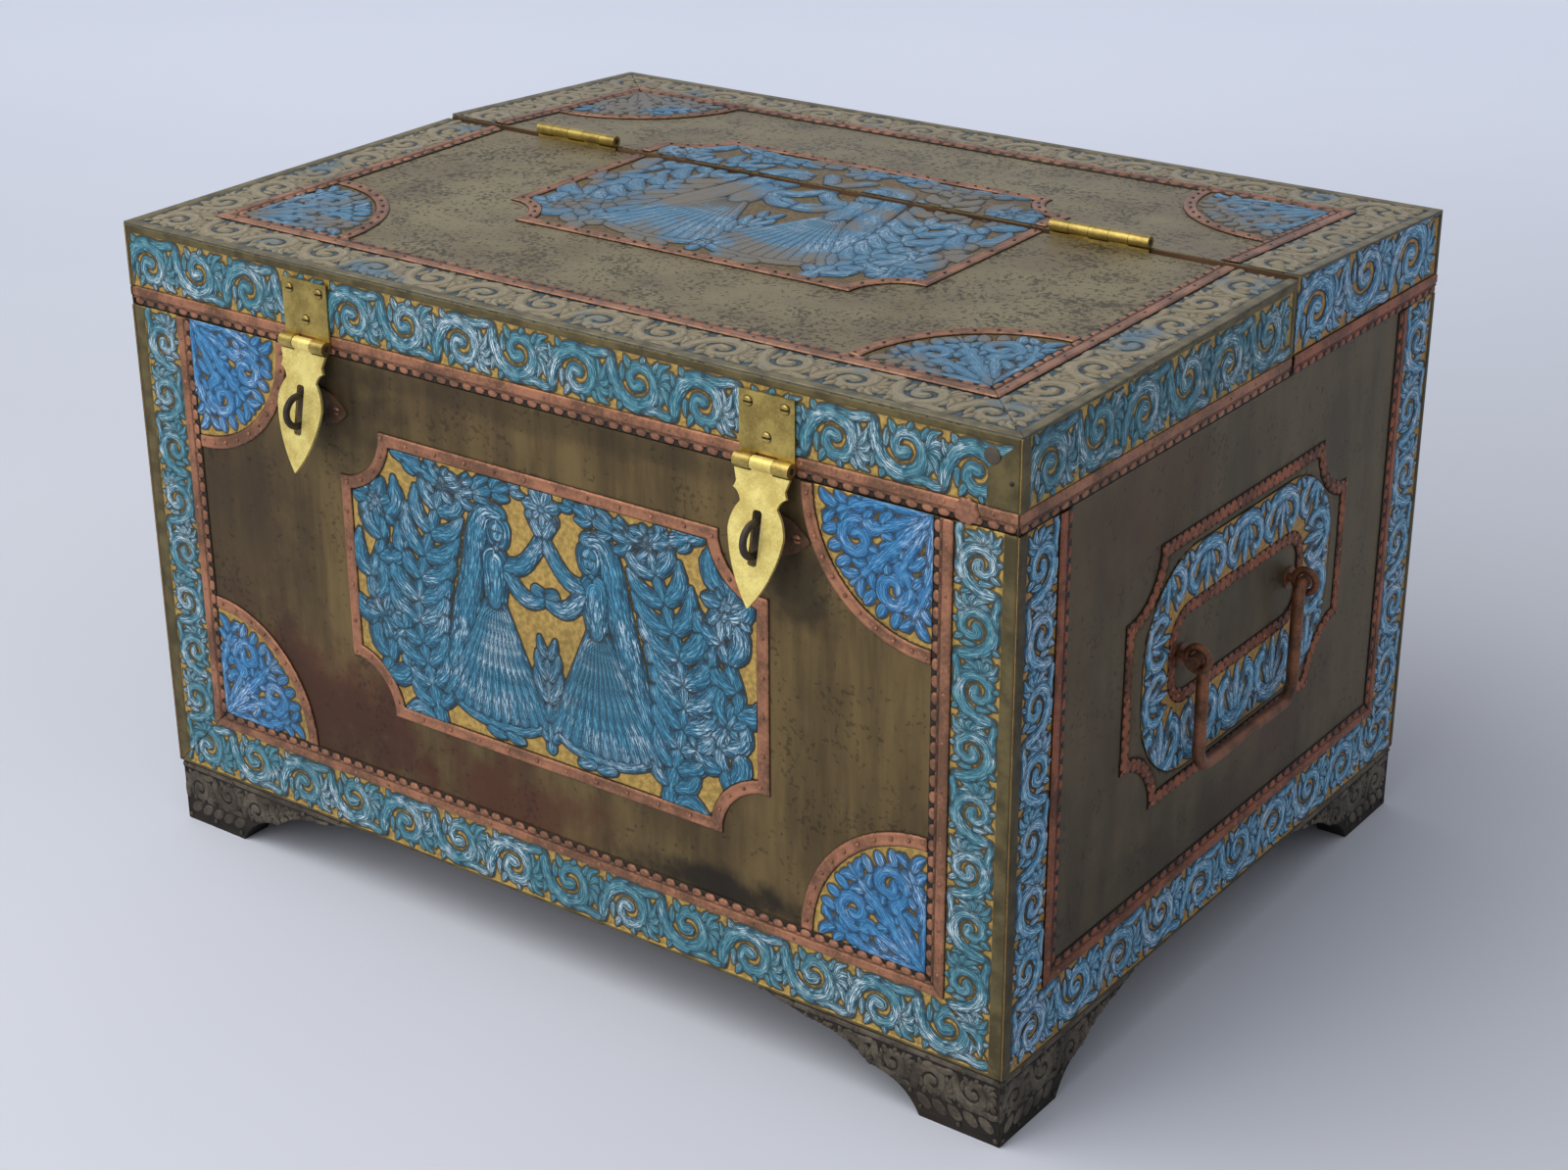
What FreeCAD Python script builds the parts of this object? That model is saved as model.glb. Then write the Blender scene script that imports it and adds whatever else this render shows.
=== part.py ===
import FreeCAD, Part
import math
import os
from types import SimpleNamespace

import Sketcher
from FreeCAD import Placement, Rotation, Vector

os.makedirs("parts", exist_ok=True)
doc = FreeCAD.newDocument("damchiya_chest")

# A dowry chest: a wooden box on four bracket feet, nailed over with brass sheet, embossed
# brass bands and copper strips. The front part of the top is the lid. It turns on two butt
# hinges that stand in the split across the top, and two hasps on its front rim hang over
# two staples in the front board. A bail handle hangs at each end.
# Lengths are millimetres. X runs along the chest, +Y goes to the back and Z is up.
# The origin is on the floor, in the middle of the ground that the whole chest covers.

SIZES = {
    # the whole chest, over its sheets
    "chest_width": 700,
    "lid_depth": 318.5,
    "rear_top_depth": 212.5,
    "foot_height": 48,
    "seam_height": 343.4,
    "rim_height": 57.6,
    "ridge_rise": 5.6,
    "rear_step": 2.5,
    "seam_gap": 0.6,
    "split_gap": 0.8,
    # the wood
    "board": 18,
    "top_board": 16,
    "floor_board": 15,
    "rebate": 6,
    "batten_depth": 22,
    "batten_height": 24,
    "rail_depth": 26,
    "rail_height": 28,
    "recess_clearance": 0.2,
    # the bracket feet
    "foot_board": 22,
    "front_foot_reach": 179.5,
    "front_foot_toe": 57,
    "side_foot_reach": 165,
    "side_foot_toe": 64,
    "foot_sheet_rise": 1,
    # the sheets, bands and strips
    "sheet": 0.8,
    "band": 1.2,
    "strip": 1.8,
    "fan_sheet": 1.4,
    "medallion_sheet": 1.4,
    "scroll_ring": 2,
    "border_width": 42.5,
    "strip_width": 13,
    "frame_width": 9,
    "mitre_gap": 0.3,
    "lap_gap": 0.2,
    "split_setback": 2.2,
    # the corner fans
    "front_fan_radius": 90,
    "top_fan_radius": 97,
    # the medallions, by their gaps to the strips round their field
    "front_medallion_left_gap": 131.5,
    "front_medallion_right_gap": 112.5,
    "front_medallion_low_gap": 45.5,
    "front_medallion_high_gap": 43.4,
    "front_notch": 36,
    "end_medallion_near_gap": 68,
    "end_medallion_far_gap": 61,
    "end_medallion_low_gap": 53.5,
    "end_medallion_high_gap": 59.4,
    "end_notch": 38,
    "top_medallion_fan_gap": 29,
    "top_medallion_front": 147.5,
    "top_medallion_rear": 67.5,
    "top_notch": 34,
    "notch_step": 6,
    "scroll_ring_side_inset": 22.5,
    "scroll_ring_low_inset": 13.5,
    "inner_frame_height": 67,
    "inner_frame_corner": 24,
    # the lid's butt hinges
    "left_hinge_inset": 125,
    "right_hinge_inset": 140,
    "hinge_length": 72.5,
    "hinge_barrel_radius": 4,
    "hinge_pin_radius": 2,
    "hinge_leaf": 1.5,
    "hinge_leaf_depth": 32,
    "hinge_lift": 2.5,
    "knuckle_gap": 0.3,
    "pin_clearance": 0.05,
    # the hasps
    "hasp_width": 39,
    "hasp_plate_top_gap": 10.6,
    "hasp_plate": 1.5,
    "hasp_drop": 84.5,
    "hasp_leaf": 2,
    "hasp_axis_above_seam": 6,
    "hasp_knuckle_radius": 4.5,
    "hasp_leaf_clearance": 0.3,
    "hasp_pin_radius": 2,
    "hasp_middle_knuckle": 15,
    "hasp_tilt": 11,
    "hasp_slot_width": 6.5,
    "hasp_slot_length": 33,
    "hasp_slot_middle": 43,
    # the staples
    "staple_wire_radius": 2.25,
    "staple_height": 20,
    "staple_reach": 27,
    "staple_below_axis": 42.4,
    "staple_plate_width": 58,
    "staple_plate_height": 28,
    "left_staple_fan_gap": 1.7,
    "right_staple_fan_gap": 0.2,
    "hole_clearance": 0.25,
    # the bail handles
    "handle_lift": 5.1,
    "eye_half_spacing": 72,
    "eye_ring_radius": 7.6,
    "eye_wire_radius": 2.5,
    "eye_shank_radius": 2.8,
    "eye_stand_off": 11.8,
    "eye_rivet_radius": 5.5,
    "eye_rivet": 1.5,
    "rosette_radius": 7.6,
    "rosette_gap": 0.4,
    "rosette": 1.2,
    "bail_rod_radius": 4.2,
    "bail_drop": 79,
    "bail_corner": 14,
    "bail_bend": 5.6,
    "bail_side_play": 0.5,
    "bail_end": 6,
}

# Shares of the way from a foot's toe to its reach, and of its height
FOOT_KNEE_SHARES = (0.30, 0.48)
FOOT_NECK_SHARES = (0.68, 0.80)
FOOT_ARC_SHARES = (0.85, 1.5)
# Shares of the hasp leaf's half width and of its drop, from the knuckle down to the tip
HASP_WAIST_SHARES = (0.88, 0.145)
HASP_POINT_SHARES = (0.97, 0.195)
HASP_NECK_SHARES = (0.67, 0.28)
HASP_BELLY_SHARES = (1.0, 0.485)
# Shares of the hasp leaf's half width, for the radii of its arcs
HASP_SCOOP_SHARE = 0.45
HASP_BELLY_ARC_SHARE = 1.4
HASP_TIP_ARC_SHARE = 4.5
# Share of the scroll ring's height, for the radius of its corners
RING_CORNER_SHARE = 0.405

HINGE_KNUCKLES = 5
SIDES = {"left": -1, "right": 1}

sheet = doc.addObject("Spreadsheet::Sheet", "sizes")
for row, (alias, number) in enumerate(SIZES.items(), start=1):
    sheet.set(f"A{row}", alias)
    sheet.set(f"B{row}", str(number))
    sheet.setAlias(f"B{row}", alias)
doc.recompute()


# Sizes that carry a number and the sheet formula that gives it
class Size:
    def __init__(self, number, text):
        self.number = number
        self.text = text

    def __add__(self, other):
        other = as_size(other)
        return Size(self.number + other.number, f"({self.text} + {other.text})")

    def __radd__(self, other):
        return as_size(other) + self

    def __sub__(self, other):
        other = as_size(other)
        return Size(self.number - other.number, f"({self.text} - {other.text})")

    def __rsub__(self, other):
        return as_size(other) - self

    def __mul__(self, other):
        other = as_size(other)
        return Size(self.number * other.number, f"({self.text} * {other.text})")

    def __rmul__(self, other):
        return as_size(other) * self

    def __truediv__(self, other):
        other = as_size(other)
        return Size(self.number / other.number, f"({self.text} / {other.text})")

    def __neg__(self):
        return Size(-self.number, f"(0 - {self.text})")


def as_size(thing):
    return thing if isinstance(thing, Size) else Size(thing, repr(thing))


def root(size):
    return Size(math.sqrt(size.number), f"sqrt({size.text})")


def slope(rise, run):
    return Size(math.degrees(math.atan(rise.number / run.number)), f"atan({rise.text} / {run.text})")


s = SimpleNamespace(**{name: Size(sheet.get(name), f"sizes.{name}") for name in SIZES})

# Places that several pieces share
chest_depth = s.lid_depth + s.rear_top_depth
half_width = s.chest_width / 2
half_depth = chest_depth / 2
front_y = s.staple_reach / 2 - half_depth
mid_y = front_y + half_depth
rear_y = front_y + chest_depth
split_y = front_y + s.lid_depth
seam_z = s.foot_height + s.seam_height
rim_z = seam_z + s.seam_gap
top_z = seam_z + s.rim_height
rear_rise = s.ridge_rise + s.rear_step
skin = s.sheet + s.band
wood_x = half_width - skin
wood_front = front_y + skin
inner_x = wood_x - s.board
inner_front = wood_front + s.board
inner_rear = rear_y - s.board
field_edge = s.border_width + s.strip_width
lid_length = root(s.lid_depth * s.lid_depth + s.ridge_rise * s.ridge_rise)
rear_length = root(s.rear_top_depth * s.rear_top_depth + rear_rise * rear_rise)
lid_pitch = slope(s.ridge_rise, s.lid_depth)
rear_pitch = slope(rear_rise, s.rear_top_depth)
lid_edge = split_y - s.split_gap / 2
rear_edge = split_y + s.split_gap / 2

# The medallions of the two ends, from the middle of an end and from the body's lower edge
end_left = s.end_medallion_near_gap + field_edge - half_depth
end_right = half_depth - field_edge - s.end_medallion_far_gap
end_bottom = field_edge + s.end_medallion_low_gap
end_top = s.seam_height - s.end_medallion_high_gap
handle_height = (end_bottom + end_top) / 2 + s.handle_lift

# The staples stand between the medallion and the arcs of the upper front fans
staple_drop = s.staple_below_axis - s.hasp_axis_above_seam
fan_reach = root(s.front_fan_radius * s.front_fan_radius - staple_drop * staple_drop)
staple_edge = half_width - field_edge - fan_reach - s.staple_plate_width / 2
hasp_middles = {"left": s.left_staple_fan_gap - staple_edge, "right": staple_edge - s.right_staple_fan_gap}


def lid_top(y, below=0):
    """Height of the lid's outer top at y, or of a parallel face that lies so far below it."""
    return top_z + (y - front_y) * s.ridge_rise / s.lid_depth - below * lid_length / s.lid_depth


def rear_top(y, below=0):
    """Height of the fixed top's outer face at y, or of a parallel face so far below it."""
    depth = s.rear_top_depth
    return top_z + (rear_y - y) * rear_rise / depth - below * rear_length / depth


# Outlines: closed or open rows of corners
def to(across, up):
    """A corner reached by a straight edge."""
    return as_size(across), as_size(up), None, 0


def bend(across, up, radius, side):
    """A corner reached by an arc whose centre lies left of the way there (1) or right (-1)."""
    return as_size(across), as_size(up), radius, side


def turned_over(loop, place):
    """The closed outline with each corner put where place says, seen from its other side."""
    after = loop[1:] + loop[:1]
    corners = [place(here) + (there[2], there[3]) for here, there in zip(loop, after)]
    return corners[::-1]


def mirrored(loop):
    """The same outline with left and right changed over."""
    return turned_over(loop, lambda corner: (-corner[0], corner[1]))


def upturned(loop, height):
    """The same outline with its low end at this height and its high end down."""
    return turned_over(loop, lambda corner: (corner[0], height - corner[1]))


def rectangle(left, low, right, high):
    return [to(left, low), to(right, low), to(right, high), to(left, high)]


def rounded(across, up, width, height, radius):
    """A rectangle with round corners, about its middle."""
    left, right = across - width / 2, across + width / 2
    low, high = up - height / 2, up + height / 2
    return [
        bend(left + radius, low, radius, 1),
        to(right - radius, low),
        bend(right, low + radius, radius, 1),
        to(right, high - radius),
        bend(right - radius, high, radius, 1),
        to(left + radius, high),
        bend(left, high - radius, radius, 1),
        to(left, low + radius),
    ]


def scoop(x, y, in_x, in_y, notch, rising):
    """A corner that is scooped out between two short steps, from edge to edge."""
    radius = root(notch * notch + s.notch_step * s.notch_step)
    flat_end = x + in_x * notch, y
    flat_step = x + in_x * notch, y + in_y * s.notch_step
    side_step = x + in_x * s.notch_step, y + in_y * notch
    side_end = x, y + in_y * notch
    if rising:
        return [to(*flat_end), to(*flat_step), bend(*side_step, radius, -1), to(*side_end)]
    return [to(*side_end), to(*side_step), bend(*flat_step, radius, -1), to(*flat_end)]


def inner_scoop(x, y, in_x, in_y, notch, width, rising, side=-1):
    """The corner of an outline that lies this width inside a scooped one."""
    outer = root(notch * notch + s.notch_step * s.notch_step)
    radius = outer + width
    reach = root(radius * radius - width * width)
    flat_end = x + in_x * reach, y + in_y * width
    side_end = x + in_x * width, y + in_y * reach
    if rising:
        return [to(*flat_end), bend(*side_end, radius, side)]
    return [to(*side_end), bend(*flat_end, radius, side)]


def scooped(left, low, right, high, notch):
    return (
        scoop(left, low, 1, 1, notch, False)
        + scoop(right, low, -1, 1, notch, True)
        + scoop(right, high, -1, -1, notch, False)
        + scoop(left, high, 1, -1, notch, True)
    )


def inside_scooped(left, low, right, high, notch, width):
    return (
        inner_scoop(left, low, 1, 1, notch, width, False)
        + inner_scoop(right, low, -1, 1, notch, width, True)
        + inner_scoop(right, high, -1, -1, notch, width, False)
        + inner_scoop(left, high, 1, -1, notch, width, True)
    )


def half_panel(left, low, right, high, notch, width):
    """What lies inside a scooped frame that is cut straight across at its high end."""
    return (
        [to(left + width, high)]
        + inner_scoop(left, low, 1, 1, notch, width, False)
        + inner_scoop(right, low, -1, 1, notch, width, True)
        + [to(right - width, high)]
    )


def half_frame(left, low, right, high, notch, width):
    """A scooped frame that is cut straight across at its high end."""
    return (
        [to(left, high)]
        + scoop(left, low, 1, 1, notch, False)
        + scoop(right, low, -1, 1, notch, True)
        + [to(right, high), to(right - width, high)]
        + inner_scoop(right, low, -1, 1, notch, width, False, 1)
        + inner_scoop(left, low, 1, 1, notch, width, True, 1)
        + [to(left + width, high)]
    )


def three_sides(left, low, right, high, width):
    """Left, low and right strips of a border, mitred where they meet."""
    gap = s.mitre_gap
    return [
        [to(left, low + gap), to(left + width, low + width + gap), to(left + width, high), to(left, high)],
        [
            to(left + gap, low),
            to(right - gap, low),
            to(right - width - gap, low + width),
            to(left + width + gap, low + width),
        ],
        [
            to(right, low + gap),
            to(right, high),
            to(right - width, high),
            to(right - width, low + width + gap),
        ],
    ]


def fan(x, y, in_x, in_y, radius):
    """A quarter disc in a corner."""
    side = in_x * in_y
    return [to(x, y), to(x + in_x * radius, y), bend(x, y + in_y * radius, radius, side)]


def fan_strip(x, y, in_x, in_y, radius, width):
    """A quarter ring round a corner."""
    side = in_x * in_y
    inner = radius - width
    return [
        bend(x + in_x * inner, y, inner, -side),
        to(x + in_x * radius, y),
        bend(x, y + in_y * radius, radius, side),
        to(x, y + in_y * inner),
    ]


# Sketches
def fix_point(sketch, geometry, point, across, up):
    """Holds a point of the sketch at its place from the sketch's origin."""
    for kind, size in (("DistanceX", across), ("DistanceY", up)):
        number = sketch.addConstraint(Sketcher.Constraint(kind, -1, 1, geometry, point, size.number))
        sketch.setExpression(f"Constraints[{number}]", size.text)


def fix_radius(sketch, geometry, radius):
    number = sketch.addConstraint(Sketcher.Constraint("Radius", geometry, radius.number))
    sketch.setExpression(f"Constraints[{number}]", radius.text)


def arc_between(start, end, radius, side):
    """The short arc from start to end, and its centre's side as bend has it."""
    chord = end - start
    left = Vector(-chord.y, chord.x, 0).normalize()
    height = math.sqrt(max(radius * radius - chord.Length * chord.Length / 4, 0))
    centre = (start + end) / 2 + left * height * side
    angles = [math.atan2(p.y - centre.y, p.x - centre.x) for p in (start, end)]
    first, last = angles if side > 0 else angles[::-1]
    return Part.ArcOfCircle(Part.Circle(centre, Vector(0, 0, 1), radius), first, last)


def draw_outline(sketch, loop, closed=True):
    points = [Vector(corner[0].number, corner[1].number, 0) for corner in loop]
    count = len(loop) if closed else len(loop) - 1
    starts, ends = [], []
    for i in range(count):
        start, end = points[i], points[(i + 1) % len(loop)]
        across, up, radius, side = loop[(i + 1) % len(loop)]
        if radius is None:
            edge = sketch.addGeometry(Part.LineSegment(start, end), False)
        else:
            edge = sketch.addGeometry(arc_between(start, end, radius.number, side), False)
            fix_radius(sketch, edge, radius)
        backwards = radius is not None and side < 0
        starts.append((edge, 2 if backwards else 1))
        ends.append((edge, 1 if backwards else 2))
    for i in range(count):
        fix_point(sketch, *starts[i], loop[i][0], loop[i][1])
        if closed or i + 1 < count:
            following = starts[(i + 1) % count]
            sketch.addConstraint(Sketcher.Constraint("Coincident", *ends[i], *following))
    if not closed:
        fix_point(sketch, *ends[-1], loop[-1][0], loop[-1][1])


def draw_circle(sketch, across, up, radius):
    across, up = as_size(across), as_size(up)
    centre = Vector(across.number, up.number, 0)
    edge = sketch.addGeometry(Part.Circle(centre, Vector(0, 0, 1), radius.number), False)
    fix_point(sketch, edge, 3, across, up)
    fix_radius(sketch, edge, radius)


# Objects of the document
nodes = {}


def keep(thing, name):
    """Names a finished piece, or a group of like pieces, that is written out."""
    thing.Label = name
    nodes[name] = thing
    return thing


def bind(thing, **sizes):
    for name, size in sizes.items():
        thing.setExpression(name, as_size(size).text)


def place(thing, x=0, y=0, z=0, rotation=Rotation()):
    thing.Placement = Placement(Vector(), rotation)
    for axis, size in (("x", x), ("y", y), ("z", z)):
        thing.setExpression(f"Placement.Base.{axis}", as_size(size).text)
    return thing


def new_body(name):
    return doc.addObject("PartDesign::Body", name)


def sketch_in(body, role, loops=(), circles=(), offset=None, closed=True):
    """A sketch on one of the body's own planes, moved along that plane's normal."""
    sketch = body.newObject("Sketcher::SketchObject", "outline")
    plane = next(f for f in body.Origin.OriginFeatures if f.Role == role)
    sketch.AttachmentSupport = [(plane, "")]
    sketch.MapMode = "FlatFace"
    if offset is not None:
        sketch.setExpression("AttachmentOffset.Base.z", offset.text)
    for loop in loops:
        draw_outline(sketch, loop, closed)
    for circle in circles:
        draw_circle(sketch, *circle)
    return sketch


def pad(body, sketch, length, both_ways=False):
    feature = body.newObject("PartDesign::Pad", "pad")
    feature.Profile = sketch
    feature.SideType = "Symmetric" if both_ways else "One side"
    bind(feature, Length=length)
    return feature


def drill(body, role, circles, reach):
    """Round holes right through the body, square to one of its planes."""
    doc.recompute()
    before = body.Shape.Volume
    feature = body.newObject("PartDesign::Pocket", "holes")
    feature.Profile = sketch_in(body, role, circles=circles)
    feature.SideType = "Symmetric"
    bind(feature, Length=reach)
    doc.recompute()
    if body.Shape.Volume >= before:
        raise ValueError(f"{body.Name}: the holes cut nothing")


def row_of(body, feature, step, count):
    """Repeats a feature along X."""
    pattern = body.newObject("PartDesign::LinearPattern", "row")
    pattern.Originals = [feature]
    axis = next(f for f in body.Origin.OriginFeatures if f.Role == "X_Axis")
    pattern.Direction = (axis, [""])
    pattern.Occurrences = count
    bind(pattern, Length=step * (count - 1))
    body.Tip = pattern
    return pattern


def flat_piece(name, loops, thickness, circles=()):
    """Sheet metal cut to outlines: one solid for each outer outline."""
    sketch = doc.addObject("Sketcher::SketchObject", f"{name}_outline")
    for loop in loops:
        draw_outline(sketch, loop)
    for circle in circles:
        draw_circle(sketch, *circle)
    piece = doc.addObject("Part::Extrusion", name)
    piece.Base = sketch
    piece.DirMode = "Normal"
    piece.Solid = True
    piece.FaceMakerClass = "Part::FaceMakerBullseye"
    bind(piece, LengthFwd=thickness)
    return piece


def group(name, pieces):
    compound = doc.addObject("Part::Compound", name)
    compound.Links = pieces
    return compound


# Where flat pieces lie. Each is drawn with X across and Y up, as seen from outside, and its
# thickness grows outwards. seat is how far its underside lies below the chest's outer face.
FRONTWARD = Rotation(Vector(1, 0, 0), 90)
RIGHTWARD = Rotation(Vector(1, 1, 1), 120)
LEFTWARD = Rotation(Vector(0, 0, 1), 180) * RIGHTWARD
END_TURNS = {-1: LEFTWARD, 1: RIGHTWARD}


def on_front(piece, seat, x=0, z=s.foot_height):
    return place(piece, x, front_y + seat, z, FRONTWARD)


def on_end(piece, side, seat, z=s.foot_height):
    return place(piece, side * (half_width - seat), mid_y, z, END_TURNS[side])


def on_lid(piece, seat):
    """Up is the way from the front edge to the split, along the slope."""
    place(
        piece,
        0,
        front_y + seat * s.ridge_rise / lid_length,
        top_z - seat * s.lid_depth / lid_length,
        Rotation(Vector(1, 0, 0), lid_pitch.number),
    )
    piece.setExpression("Placement.Rotation.Angle", lid_pitch.text)
    return piece


def on_rear_top(piece, seat):
    """Up is the way from the split to the rear edge, down the slope."""
    place(
        piece,
        0,
        split_y - seat * rear_rise / rear_length,
        top_z + rear_rise - seat * s.rear_top_depth / rear_length,
        Rotation(Vector(-1, 0, 0), rear_pitch.number),
    )
    piece.setExpression("Placement.Rotation.Angle", rear_pitch.text)
    return piece


# The wooden box
def profile_board(name, corners, x, length):
    """A board with one side profile all along X, from x."""
    body = new_body(name)
    pad(body, sketch_in(body, "YZ_Plane", [corners]), length)
    return place(body, x)


def end_ys():
    return wood_front + s.board - s.rebate, rear_y - s.board + s.rebate


def staple_legs():
    """Where the staples' legs go through the front board."""
    rise = s.staple_height / 2
    return [(x, seam_z - staple_drop + up) for x in hasp_middles.values() for up in (rise, -rise)]


def make_front_board():
    low = wood_front + s.board - s.rebate
    outline = [
        to(-wood_x, wood_front),
        to(wood_x, wood_front),
        to(wood_x, low),
        to(inner_x, low),
        to(inner_x, inner_front),
        to(-inner_x, inner_front),
        to(-inner_x, low),
        to(-wood_x, low),
    ]
    body = new_body("front_board_body")
    pad(body, sketch_in(body, "XY_Plane", [outline], offset=s.foot_height), s.seam_height)
    holes = [(x, z, s.staple_wire_radius + s.hole_clearance) for x, z in staple_legs()]
    drill(body, "XZ_Plane", holes, 2 * chest_depth)
    keep(body, "front_board")


def make_back_board():
    """The back board goes up to the fixed top, whose slope its upper edge follows."""
    high = rear_y - s.board + s.rebate
    body = new_body("back_board_body")
    edge = [
        to(inner_rear, s.foot_height),
        to(rear_y, s.foot_height),
        to(rear_y, rear_top(rear_y, skin + s.top_board)),
        to(inner_rear, rear_top(inner_rear, skin + s.top_board)),
    ]
    pad(body, sketch_in(body, "YZ_Plane", [edge], offset=-wood_x), 2 * wood_x)
    doc.recompute()
    before = body.Shape.Volume
    rebates = body.newObject("PartDesign::Pocket", "rebates")
    ends = [rectangle(x, inner_rear - s.board, x + s.board, high) for x in (-wood_x, inner_x)]
    rebates.Profile = sketch_in(body, "XY_Plane", ends)
    rebates.SideType = "Symmetric"
    bind(rebates, Length=4 * s.chest_width)
    doc.recompute()
    if body.Shape.Volume >= before:
        raise ValueError("the back board's rebates cut nothing")
    keep(body, "back_board")


def make_end_board(side_name, side):
    near, far = end_ys()
    x = -wood_x if side < 0 else inner_x
    corners = rectangle(near, s.foot_height, far, seam_z)
    board = profile_board(f"{side_name}_end_body", corners, x, s.board)
    height = s.foot_height + handle_height
    holes = [
        (mid_y + way * s.eye_half_spacing, height, s.eye_shank_radius + s.hole_clearance)
        for way in (-1, 1)
    ]
    drill(board, "YZ_Plane", holes, 2 * s.chest_width)
    keep(board, f"{side_name}_end_board")


def make_floor_board():
    corners = rectangle(inner_front, s.foot_height, inner_rear, s.foot_height + s.floor_board)
    keep(profile_board("floor_body", corners, -inner_x, 2 * inner_x), "floor_board")


# The fixed rear part of the top, and the lid in front of it
def hinge_middles():
    return s.left_hinge_inset - half_width, half_width - s.right_hinge_inset


hinge_z = rear_top(split_y) + s.hinge_lift


def recesses(name, way):
    """Shallow beds for the hinge leaves in the edges that meet at the split."""
    depth = s.hinge_leaf + s.recess_clearance
    height = s.hinge_leaf_depth + s.recess_clearance
    beds = []
    for middle in hinge_middles():
        bed = doc.addObject("Part::Box", name)
        bind(
            bed,
            Length=s.hinge_length + 2 * s.recess_clearance,
            Width=depth + s.split_gap / 2,
            Height=height + s.hinge_barrel_radius,
        )
        y = split_y if way > 0 else split_y - depth - s.split_gap / 2
        place(bed, middle - s.hinge_length / 2 - s.recess_clearance, y, hinge_z - height)
        beds.append(bed)
    return group(f"{name}_beds", beds)


def bedded(board, beds, name):
    """The board with the hinge beds cut into its edge."""
    cut = doc.addObject("Part::Cut", f"{name}_cut")
    cut.Base = board
    cut.Tool = beds
    keep(cut, name)


def sloped(near, far, top, above, below):
    """A side profile between two faces that follow one of the tops."""
    return [
        to(near, top(near, below)),
        to(far, top(far, below)),
        to(far, top(far, above)),
        to(near, top(near, above)),
    ]


def make_rear_top():
    beds = recesses("rear_bed", 1)
    under = skin + s.top_board
    profile = sloped(rear_edge, rear_y, rear_top, skin, under)
    board = profile_board("rear_top_body", profile, -wood_x, 2 * wood_x)
    bedded(board, beds, "rear_top_board")
    rail_end = rear_edge + s.rail_depth
    rail = sloped(rear_edge, rail_end, rear_top, under, under + s.rail_height)
    bedded(profile_board("rail_body", rail, -inner_x, 2 * inner_x), beds, "hinge_rail")
    far = end_ys()[1]
    for side_name, x in (("left", -wood_x), ("right", inner_x)):
        rim = [
            to(rear_edge, seam_z),
            to(far, seam_z),
            to(far, rear_top(far, under)),
            to(rear_edge, rear_top(rear_edge, under)),
        ]
        keep(profile_board(f"rear_{side_name}_body", rim, x, s.board), f"rear_{side_name}_rim")


def make_lid():
    beds = recesses("lid_bed", -1)
    under = skin + s.top_board
    profile = sloped(wood_front, lid_edge, lid_top, skin, under)
    board = profile_board("lid_body", profile, -wood_x, 2 * wood_x)
    bedded(board, beds, "lid_board")
    batten_start = lid_edge - s.batten_depth
    batten = sloped(batten_start, lid_edge, lid_top, under, under + s.batten_height)
    bedded(profile_board("batten_body", batten, -inner_x, 2 * inner_x), beds, "lid_batten")

    def rim(near, far):
        return [
            to(near, rim_z),
            to(far, rim_z),
            to(far, lid_top(far, under)),
            to(near, lid_top(near, under)),
        ]

    front = profile_board("lid_front_body", rim(wood_front, inner_front), -wood_x, 2 * wood_x)
    keep(front, "lid_front_rim")
    for side_name, x in (("left", -wood_x), ("right", inner_x)):
        board = profile_board(f"lid_{side_name}_body", rim(inner_front, lid_edge), x, s.board)
        keep(board, f"lid_{side_name}_rim")


# The bracket feet
def bracket(reach, toe, base=0):
    """A foot's outline from the chest's corner: a flat toe, then two hollows up to the body."""
    run = reach - toe
    corners = [to(0, base), to(toe, base)]
    for (along, up), arc in zip((FOOT_KNEE_SHARES, FOOT_NECK_SHARES), FOOT_ARC_SHARES):
        corners.append(bend(toe + run * along, s.foot_height * up, s.foot_height * arc, -1))
    return corners + [to(reach, s.foot_height), to(0, s.foot_height)]


def foot_side(name, loop, thickness, side, x, y, along_x):
    """One board or sheet of a foot, standing on the floor with its outer face outwards."""
    piece = flat_piece(name, [loop], thickness)
    if along_x:
        turn = FRONTWARD if side < 0 else Rotation(Vector(0, 0, 1), 180) * FRONTWARD
    else:
        turn = END_TURNS[side]
    return place(piece, x, y, 0, turn)


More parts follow.
